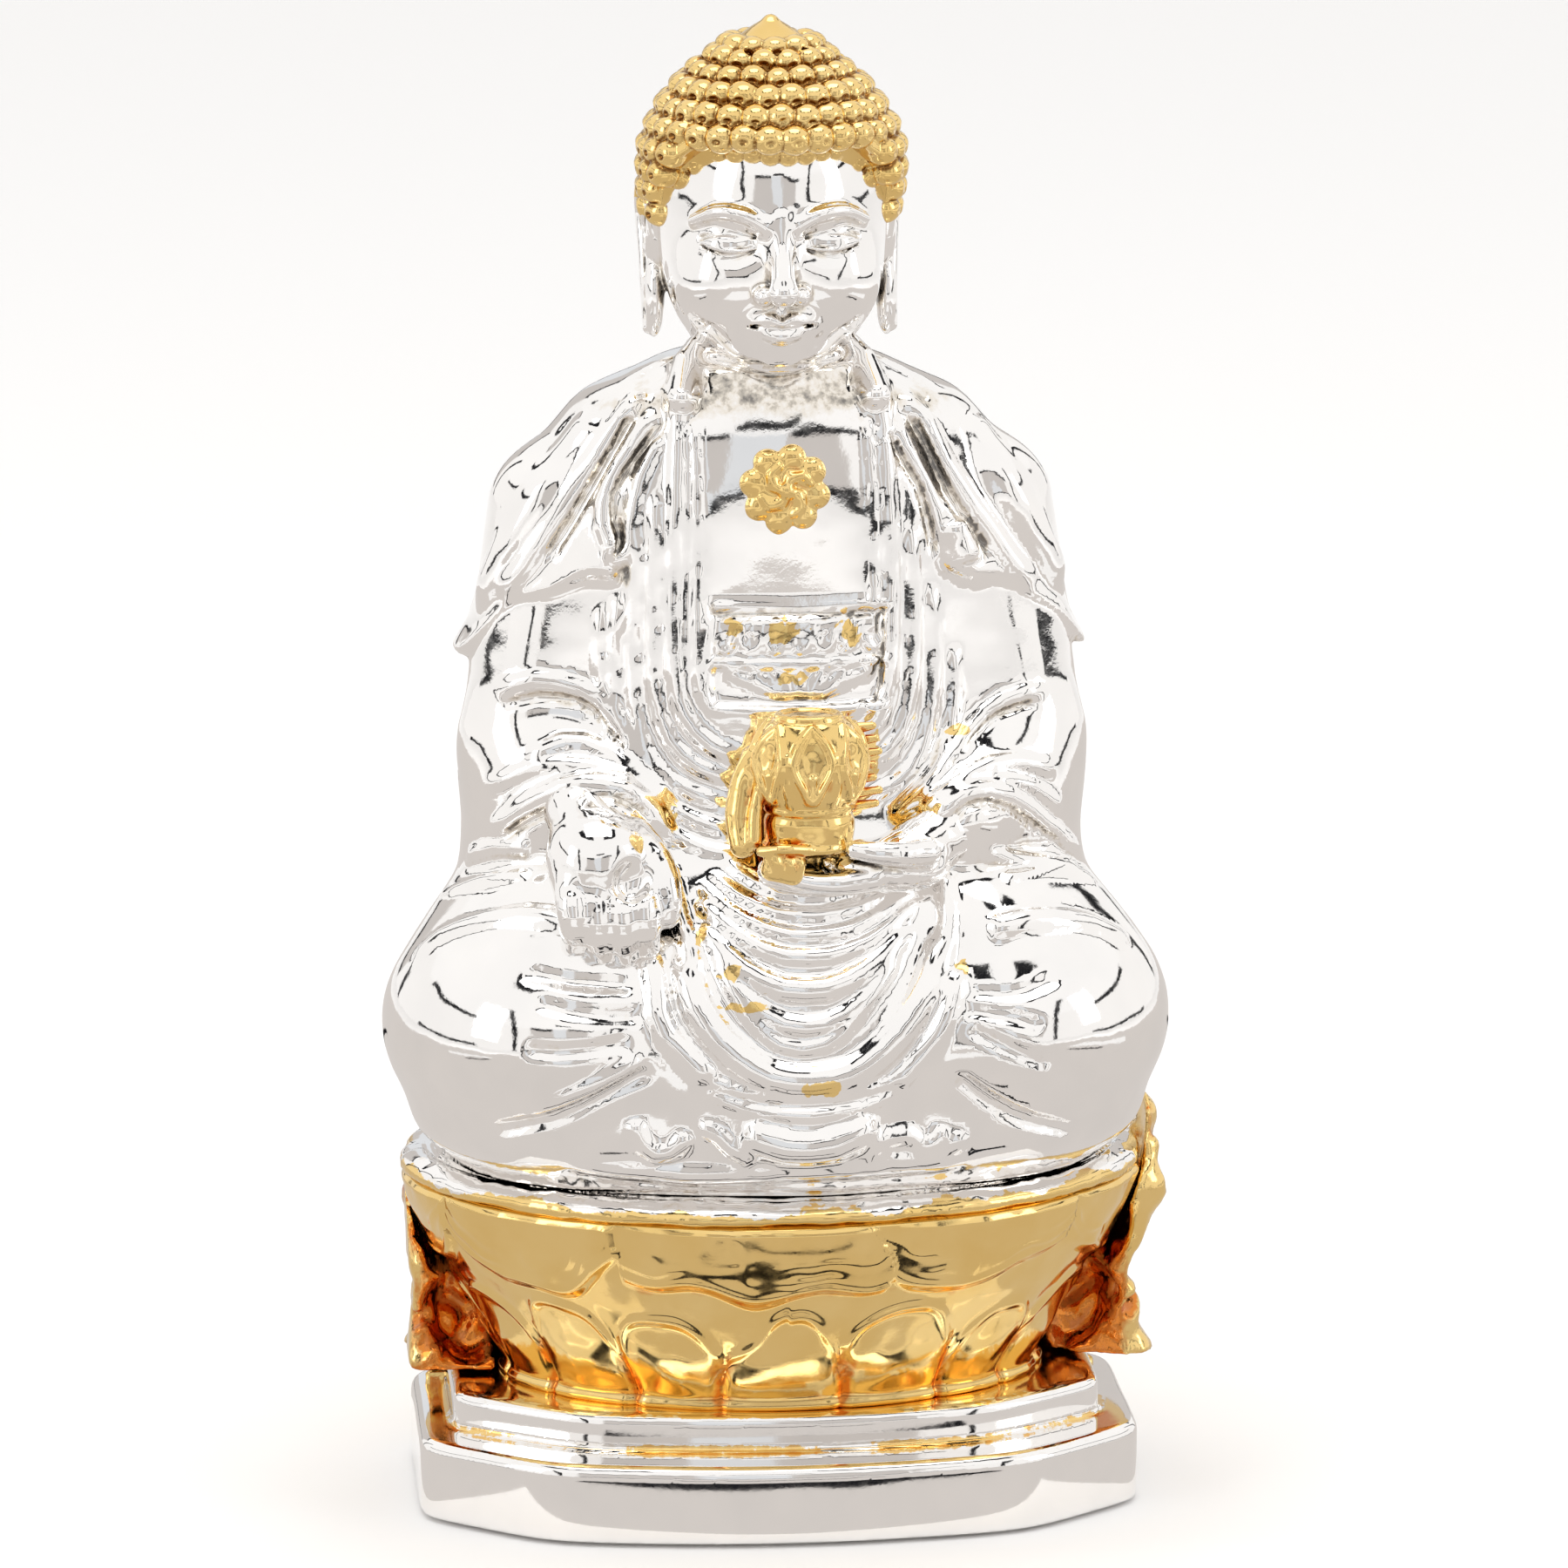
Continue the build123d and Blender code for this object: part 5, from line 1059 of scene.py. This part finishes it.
def add_mesh(name, V, F, attrs, mat, nodes):
    me = bpy.data.meshes.new(name)
    V = np.asarray(np.asarray(V) + placing(nodes[0]), np.float32) / 1000.0
    F = np.asarray(F, np.int32)
    me.vertices.add(len(V))
    me.vertices.foreach_set("co", V.ravel())
    k = F.shape[1]
    me.loops.add(F.size)
    me.loops.foreach_set("vertex_index", F.ravel())
    me.polygons.add(len(F))
    me.polygons.foreach_set("loop_start", np.arange(0, F.size, k, dtype=np.int32))
    me.polygons.foreach_set("use_smooth", np.ones(len(F), bool))
    me.update(calc_edges=True)
    me.validate()
    for an, arr in attrs.items():
        at = me.attributes.new(name=an, type="FLOAT", domain="POINT")
        at.data.foreach_set("value", np.asarray(arr, np.float32))
    me.materials.append(mat)
    ob = bpy.data.objects.new(name, me)
    bpy.context.scene.collection.objects.link(ob)
    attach(ob, "root")
    if nodes:
        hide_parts(*nodes)
    return ob


def largest(V, F, keep=0.02):
    """drops loose specks: keeps shells with at least that share of the faces"""
    par = np.arange(len(V))
    E = np.vstack([F[:, [0, 1]], F[:, [1, 2]], F[:, [2, 3]]])
    for _ in range(200):
        a, b = par[E[:, 0]], par[E[:, 1]]
        m = np.minimum(a, b)
        if np.all(a == b):
            break
        np.minimum.at(par, a, m)
        np.minimum.at(par, b, m)
        par[E[:, 0]] = np.minimum(par[E[:, 0]], m)
        par[E[:, 1]] = np.minimum(par[E[:, 1]], m)
        par = par[par]
    cnt = np.bincount(par[F[:, 0]], minlength=len(V))
    ok = cnt[par] >= keep * len(F)
    remap = np.cumsum(ok) - 1
    Fk = F[ok[F[:, 0]]]
    return ok, remap[Fk]


def carve(name, make, h, mat, nodes, goldf=None, cav_r=1.0, deepen=None):
    t0 = time.time()
    f, lo, hi = make()
    h = h * 1.0
    V, F, N = sculpt_mesh(f, lo, hi, h, 2)
    ok, F = largest(V, F)
    V, N = V[ok], N[ok]
    # painted shade per vertex: the occlusion, plus any extra the piece asks for
    attrs = {"occlusion_shade": occlusion_shade(f, V, N, cav_r), "gold": goldf(V) if goldf else np.zeros(len(V))}
    if deepen:
        attrs["occlusion_shade"] = np.clip(attrs["occlusion_shade"] + deepen(V), 0, 1)
    ob = add_mesh(name, V, F, attrs, mat, nodes)
    print("carved", name, len(V), "verts", len(F) * 2, "tris", round(time.time() - t0, 1), "s", np.round(V.min(0), 1), np.round(V.max(0), 1), flush=True)
    return ob, f


def throne_mesh():
    nt, nz = ((760, 120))
    th = np.linspace(0, 2 * math.pi, nt, endpoint=False)
    z0, z1 = 12.0, 33.2
    zz = z0 + (z1 - z0) * np.linspace(0, 1, nz)
    T, Z = np.meshgrid(th, zz, indexing="ij")
    a, b, cy = (np.interp(Z, THRONE[:, 0], THRONE[:, i]) for i in (1, 2, 3))
    P = np.stack([40 * np.sin(T).ravel(), 30 * np.cos(T).ravel(), Z.ravel()], 1)
    wob = noise(P, 7.0, 31).reshape(T.shape)
    wob2 = noise(P, 2.2, 32).reshape(T.shape)
    disp = np.zeros_like(T)
    cav = np.zeros_like(T)
    # lower petals: round arches, cupped towards the foot, with a narrow slit between neighbours
    n = 16
    u = (T + .05 * wob) * n / (2 * math.pi)
    s = ((u + 0.5) % 1) - 0.5
    ztop = 23.2 + 1.3 * wob + .9 * np.sin(np.round(u) * 2.4) - 5.0 * np.abs(2 * s) ** 2.8
    e = (ztop - Z) / np.sqrt(1 + (5.0 * 2.8 * np.abs(2 * s) ** 1.8 * 2 * n / (2 * math.pi) / 30) ** 2)
    inside = step(e, -.2, 1.6)
    disp += 0.42 * np.exp(-((e - .45) / .6) ** 2) + inside * 1.15 * np.cos(s * math.pi) ** .7 * np.exp(-((Z - 16.4) / 3.8) ** 2)
    slit = np.exp(-((np.abs(s) - .5) / .055) ** 2) * step(-Z, -20.5, -17.5)
    disp -= .45 * slit
    # painted shade in the slits between the lower petals and a little inside each arch's rim, low down
    cav += .55 * slit + .30 * np.exp(-((e - 1.7) / .7) ** 2) * step(-Z, -22, -19)
    # upper petals: wide and shallow, their rounded tips hanging over the arches
    n = 9
    u = (T + .10 * wob - .22) * n / (2 * math.pi)
    s2 = (u % 1) - 0.5
    amp = 3.0 + 1.5 * np.sin(np.floor(u) * 2.1)
    zlow = 25.2 + 1.6 * wob + amp * np.abs(2 * s2) ** 2.6
    e2 = (Z - zlow) / np.sqrt(1 + (amp * 2.6 * np.abs(2 * s2) ** 1.6 * 2 * n / (2 * math.pi) / 34) ** 2)
    up = step(e2, -.6, .8)
    disp = disp * (1 - .8 * up) + up * (0.40 + 0.30 * np.cos(s2 * math.pi) + .35 * s2)
    disp += 0.24 * np.exp(-((e2 - .4) / .5) ** 2)
    # painted shade just under the upper petals' tips, replacing the lower petals' shade where the upper petals lie
    cav = cav * (1 - up) + 0.22 * np.exp(-((e2 + .6) / .5) ** 2)
    # broken inner edges, following the tips, and a faint midrib
    for off, hgt, sd in ((1.9, .20, .2), (3.6, .14, -.2)):
        disp += hgt * np.exp(-((e2 - off - .6 * wob2) / .42) ** 2) * step(np.abs(s2), .08, .24) * step(wob * np.sign(sd), -.35, .15)
    disp += 0.10 * np.exp(-(s2 / .03) ** 2) * step(e2, .8, 2.2) * step(wob2, -.2, .3)
    # the foot's plain band
    disp += 0.5 * np.exp(-((Z - 12.5) / .55) ** 2)
    # painted shade in the groove just above the foot's band
    cav += .35 * np.exp(-((Z - 13.4) / .5) ** 2)
    disp *= step(-Z, -33.6, -32.4) * .9 + .1
    disp += 0.10 * wob2 + 0.22 * wob
    k = 1 + disp / 30.0
    X, Y = a * np.sin(T) * k, cy - b * np.cos(T) * k
    V = np.stack([X.ravel(), Y.ravel(), Z.ravel()], 1)
    # the painted shade, plus random darker patches from the noise
    cavv = np.clip(cav + .25 * np.clip(wob2, 0, 1), 0, 1).ravel()
    I = np.arange(nt)
    F = []
    for j in range(nz - 1):
        p, q = I * nz + j, ((I + 1) % nt) * nz + j
        F.append(np.stack([p, q, q + 1, p + 1], 1))
    # closed ends, in rings towards the middle, with a little painted shade
    for j, up_ in ((0, False), (nz - 1, True)):
        ring = I * nz + j
        base = V[ring]
        zc = zz[j]
        prev = ring
        for fr in (.8, .5, .2, .03):
            nv = base * (fr, fr, 1)
            st = len(V)
            V = np.vstack([V, nv])
            cavv = np.r_[cavv, np.full(nt, .2)]
            cur = st + I
            nx = np.roll(cur, -1)
            pn = np.roll(prev, -1)
            F.append(np.stack([prev, pn, nx, cur], 1) if up_ else np.stack([cur, nx, pn, prev], 1))
            prev = cur
        cidx = len(V)
        V = np.vstack([V, [[0, 0, zc]]])
        cavv = np.r_[cavv, .2]
        pn = np.roll(prev, -1)
        # the last ring meets in the middle; paired into quads
        A, B2 = prev[0::2], prev[1::2]
        C2 = np.roll(prev, -2)[0::2]
        F.append(np.stack([A, B2, C2, np.full(len(A), cidx)], 1) if up_ else np.stack([C2, B2, A, np.full(len(A), cidx)], 1))
    return V, np.concatenate(F), cavv


def seat():
    f = Field()
    SEATC = column([(33.2, 37.0, 27.0), (33.9, 37.6, 27.6), (34.8, 37.3, 27.2), (35.6, 35.9, 26.0)])
    f.put("u", lambda P: col(P, SEATC, 2.0, .7))
    f.put("disp", lambda P: .22 * noise(P, 6, 33) + .12 * noise(P, 2.2, 34) + .05 * noise(P, .9, 35))
    # a groove under the robe's hem
    f.put("disp", lambda P: -.35 * np.exp(-((np.sqrt((P[:, 0] / 34.8) ** 2 + (P[:, 1] / 24.6) ** 2) - 1) / .012) ** 2) * step(P[:, 2], 35.0, 35.4))
    f.put("i", lambda P: 33.2 - P[:, 2], k=.1)
    return f, (-38.8, -28.8, 33), (38.8, 28.8, 36.4)


def seat_gold(P):
    th = np.arctan2(P[:, 0], -P[:, 1])
    zb = 34.75 + .30 * np.sin(th * 12 + .5) + .55 * noise(P * (1, 1, .3), 3.2, 36) + .22 * noise(P, 1.1, 37)
    return np.clip(.5 + (zb - P[:, 2]) * .8, 0, 1)


SILVER = plated("plate_silver_with_gold")
SILVER_SMOOTH = plated("plate_silver_smooth", bump=0.015)
GOLD = plated("plate_gold", all_gold=True)
# the cloud screen: painted shade reaching further into its hollows, partly matt in the deepest
GOLD_DEEP = plated("plate_gold_deep", all_gold=True, deep=1.5, bump=0.2, shade_metallic=.35)
# the hair: painted shade between the curls in dark brown
GOLD_HAIR = plated("plate_gold_hair", all_gold=True, deep=1.25, hollow_shade=(.26, .12, .03, 1))

carve("robed_figure", robe, .495, SILVER, ["figure_body"], robe_gold, 1.3)
carve("head_sculpt", head, .205, SILVER, ["head"], head_gold, .7)
carve("hair_curls", hair, .24, GOLD_HAIR, ["hair_cap"], None, .8)
carve("hand_on_knee", right_hand_field, .2, SILVER, ["right_hand"], None, .8)
carve("hand_with_jar", left_hand_field, .2, SILVER, ["left_hand"], None, .8)
carve("lotus_jar", jar, .16, GOLD, ["treasure_jar"], None, .6)
carve("breast_roundel", roundel, .12, GOLD, ["chest_roundel"], None, .5)
carve("stepped_plinth", plinth, .42, SILVER_SMOOTH, ["plinth"], plinth_gold, 1.0)
# extra painted shade on the screen's inner side, in the recess facing the throne, from about 9 mm up
carve("cloud_screen", screen, .42, GOLD_DEEP, ["back_screen"], None, 1.8,
      lambda P: .55 * step(-np.sqrt((P[:, 0] / 39.0) ** 2 + (P[:, 1] / 27.0) ** 2), -.955, -.90) * step(P[:, 2], 9, 12))
carve("seat_rim", seat, .4, SILVER, ["throne_seat"], seat_gold, .8)
V, F, cavv = throne_mesh()
add_mesh("lotus_petals", V, F, {"occlusion_shade": cavv, "gold": np.ones(len(V))}, GOLD, ["lotus_throne"])

# ---------------------------------------------------------------- carried-over nodes
STEEL = metal_material("steel_bright", (0.42, 0.42, 0.44, 1), (0.66, 0.66, 0.68, 1), .25, .45)
BRASS = metal_material("brass_turned", (0.60, 0.44, 0.19, 1), (0.82, 0.64, 0.32, 1), .22, .4)
MATS = {"felt_pad": felt_material(), "neck_dowel": wood_material(), "threaded_insert": BRASS}
for n in ("hand_dowels", "screen_pins", "throne_pins", "tie_washer", "tie_screw"):
    MATS[n] = STEEL
for n, mat in MATS.items():
    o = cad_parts[n]
    if o.material_slots:
        for sl in o.material_slots:
            sl.material = mat
    else:
        o.data.materials.append(mat)

# ---------------------------------------------------------------- floor, light, camera
me = bpy.data.meshes.new("floor")
R = 9.0
me.from_pydata([(-R, -R, 0), (R, -R, 0), (R, R, 0), (-R, R, 0)], [], [(0, 1, 2, 3)])
floor = bpy.data.objects.new("floor", me)
bpy.context.scene.collection.objects.link(floor)
fm, fnt, fb = new_material("floor_pale")
fb.inputs["Base Color"].default_value = (0.97, 0.965, 0.96, 1)
fb.inputs["Roughness"].default_value = 0.9
me.materials.append(fm)

world = bpy.data.worlds.new("studio")
bpy.context.scene.world = world
world.use_nodes = True
wn = world.node_tree
for x in list(wn.nodes):
    wn.nodes.remove(x)
out = wn.nodes.new("ShaderNodeOutputWorld")
bg = wn.nodes.new("ShaderNodeBackground")
wn.links.new(bg.outputs[0], out.inputs[0])
tc = wn.nodes.new("ShaderNodeTexCoord")
sep = wn.nodes.new("ShaderNodeSeparateXYZ")
wn.links.new(tc.outputs["Generated"], sep.inputs[0])


def remap(src, lo, hi, absolute=False):
    if absolute:
        m = wn.nodes.new("ShaderNodeMath")
        m.operation = "ABSOLUTE"
        wn.links.new(src, m.inputs[0])
        src = m.outputs[0]
    n = wn.nodes.new("ShaderNodeMapRange")
    n.inputs["From Min"].default_value, n.inputs["From Max"].default_value = lo, hi
    wn.links.new(src, n.inputs["Value"])
    return n.outputs[0]


def times(a, b, how="MULTIPLY"):
    m = wn.nodes.new("ShaderNodeMath")
    m.operation = how
    wn.links.new(a, m.inputs[0])
    wn.links.new(b, m.inputs[1])
    return m.outputs[0]


# white panels to the sides, a warm grey room with a pale strip in front and behind, and a few dark slits
WHITE, ROOM, COOL = (1.0, .985, .97, 1), (.62, .585, .56, 1), (.78, .80, .825, 1)
across = ramp(wn, remap(sep.outputs["X"], -1, 1), [(0, WHITE), (.285, WHITE), (.30, ROOM), (.445, ROOM), (.452, COOL), (.535, COOL), (.542, ROOM), (.66, ROOM), (.675, WHITE), (1, WHITE)])
upz = ramp(wn, remap(sep.outputs["Z"], 0, 1), [(0, g(0)), (.40, g(0)), (.43, g(1)), (1, g(1))])
col_w = mix(wn, upz, across, (1.04, 1.03, 1.02, 1))
slit_v = ramp(wn, remap(sep.outputs["X"], 0, 1, True), [(0, g(0)), (.555, g(0)), (.563, g(1)), (.60, g(1)), (.608, g(0)), (1, g(0))])
slit_h = ramp(wn, remap(sep.outputs["Z"], 0, 1), [(0, g(0)), (.385, g(0)), (.392, g(1)), (.425, g(1)), (.432, g(0)), (1, g(0))])
low = ramp(wn, remap(sep.outputs["Z"], 0, 1), [(0, g(1)), (.60, g(1)), (.62, g(0)), (1, g(0))])
horizon = ramp(wn, remap(sep.outputs["Z"], 0, 1), [(0, g(1)), (.022, g(1)), (.030, g(0)), (1, g(0))])
win = ramp(wn, times(remap(sep.outputs["X"], 0, 1, True), remap(sep.outputs["Y"], 0, 1, True), "MINIMUM"), [(0, g(1)), (.40, g(1)), (.42, g(0)), (1, g(0))])
clear = ramp(wn, remap(sep.outputs["X"], 0, 1, True), [(0, g(0)), (.10, g(0)), (.12, g(1)), (1, g(1))])
slit_h = times(slit_h, clear)
high = ramp(wn, remap(sep.outputs["Z"], 0, 1), [(0, g(0)), (.845, g(0)), (.855, g(1)), (.918, g(1)), (.926, g(0)), (1, g(0))])
wide = ramp(wn, remap(sep.outputs["X"], 0, 1, True), [(0, g(0)), (.12, g(0)), (.13, g(1)), (.46, g(1)), (.475, g(0)), (1, g(0))])
ahead = ramp(wn, remap(sep.outputs["Y"], -1, 1), [(0, g(1)), (.48, g(1)), (.5, g(0)), (1, g(0))])
flag = times(times(high, wide), ahead)
dark = times(times(times(slit_v, low), times(slit_h, win), "MAXIMUM"), times(horizon, win), "MAXIMUM")
dark = times(dark, flag, "MAXIMUM")
wn.links.new(mix(wn, dark, col_w, (.012, .012, .014, 1)), bg.inputs["Color"])
bg.inputs["Strength"].default_value = 1.0


def area(name, loc, size, power, target=(0, 0, .08)):
    L = bpy.data.lights.new(name, "AREA")
    L.shape = "RECTANGLE"
    L.size, L.size_y = size
    L.energy = power
    o = bpy.data.objects.new(name, L)
    bpy.context.scene.collection.objects.link(o)
    o.location = loc
    d = Vector(target) - Vector(loc)
    o.rotation_euler = d.to_track_quat("-Z", "Y").to_euler()
    return o


area("key_left", (-.85, -.50, .45), (.35, .55), 1.1)
area("key_right", (.88, -.42, .45), (.30, .50), .9)
area("top", (0, -.1, 1.0), (.7, .5), 2.0)


def card(name, centre, w, h, tone, target=(0, 0, .075)):
    """a dull dark card standing outside the picture, for the plating to reflect"""
    c = Vector(centre)
    n = (Vector(target) - c).normalized()
    r = n.cross(Vector((0, 0, 1))).normalized()
    u = r.cross(n).normalized()
    me = bpy.data.meshes.new(name)
    pts = [c + r * (sx * w / 2) + u * (sz * h / 2) for sx, sz in ((-1, -1), (1, -1), (1, 1), (-1, 1))]
    me.from_pydata([tuple(p) for p in pts], [], [(0, 1, 2, 3)])
    o = bpy.data.objects.new(name, me)
    bpy.context.scene.collection.objects.link(o)
    m, nt, b = new_material(name + "_tone")
    b.inputs["Base Color"].default_value = tone
    b.inputs["Roughness"].default_value = 1.0
    me.materials.append(m)
    o.visible_camera = False
    o.visible_diffuse = False
    return o


card("card_front", (0.03, -.86, .56), .20, .05, (.012, .012, .014, 1))


def sheets(name, quads, z, tone):
    """flat sheets lying just over the floor for the plating to reflect, seen by nothing else"""
    me = bpy.data.meshes.new(name)
    pts, faces = [], []
    for x0, y0, x1, y1 in quads:
        i = len(pts)
        pts += [(x0, y0, z), (x1, y0, z), (x1, y1, z), (x0, y1, z)]
        faces.append((i, i + 1, i + 2, i + 3))
    me.from_pydata(pts, [], faces)
    o = bpy.data.objects.new(name, me)
    bpy.context.scene.collection.objects.link(o)
    m, nt, b = new_material(name + "_tone")
    b.inputs["Base Color"].default_value = (0, 0, 0, 1)
    b.inputs["Roughness"].default_value = 1.0
    b.inputs["Specular IOR Level"].default_value = 0.0
    b.inputs["Emission Color"].default_value = tone
    b.inputs["Emission Strength"].default_value = 1.0
    me.materials.append(m)
    o.visible_camera = False
    o.visible_diffuse = False
    o.visible_shadow = False
    return o


# a warm backdrop sheet all round the foot, with narrow dark edges lying on it
bx, by = CAD_BOX[1][0] + .0004, CAD_BOX[1][1] + .0004
R1 = .55
sheets("sheet_warm", [(-R1, -R1, R1, -by), (-R1, by, R1, R1), (-R1, -by, -bx, by), (bx, -by, R1, by)], .0008, (.69, .65, .62, 1))
front = CAD_BOX[0][1]
sheets("sheet_edges", [(-.030, front - .0185, .034, front - .0130), (-.018, front - .0390, .021, front - .0350),
                       (-.26, front - .150, -.24, front - .06), (.20, front - .170, .216, front - .05),
                       (-.11, .17, .11, .182), (-.030, -front + .013, .030, -front + .0185)], .0014, (.012, .012, .014, 1))
sheets("sheet_pale", [(-.10, front - .36, .10, front - .19), (-.34, front - .20, -.29, front - .02), (.25, front - .22, .33, front + .02)], .0012, (1.0, .99, .98, 1))

# the photograph's viewing angle: from a little to one side and 12 degrees above
az, el = math.radians(-5), math.radians(12)
back = Vector((math.sin(az) * math.cos(el), -math.cos(az) * math.cos(el), math.sin(el)))
right = Vector((math.cos(az), math.sin(az), 0))
upv = back.cross(right)
lo, hi = (Vector(c) for c in CAD_BOX)
aim = Vector((0, 0, (lo.z + hi.z) / 2)) + right * .0014 - upv * .00272
cam = bpy.data.cameras.new("camera")
co_ = bpy.data.objects.new("camera", cam)
bpy.context.scene.collection.objects.link(co_)
co_.location = aim + back * .8
co_.rotation_euler = Matrix((right, upv, back)).transposed().to_euler()
cam.sensor_width = 36
cam.lens = 182.6
cam.clip_start = .01
cam.clip_end = 20
bpy.context.scene.camera = co_
bpy.context.scene.view_settings.view_transform = "Standard"
bpy.context.scene.view_settings.look = "None"
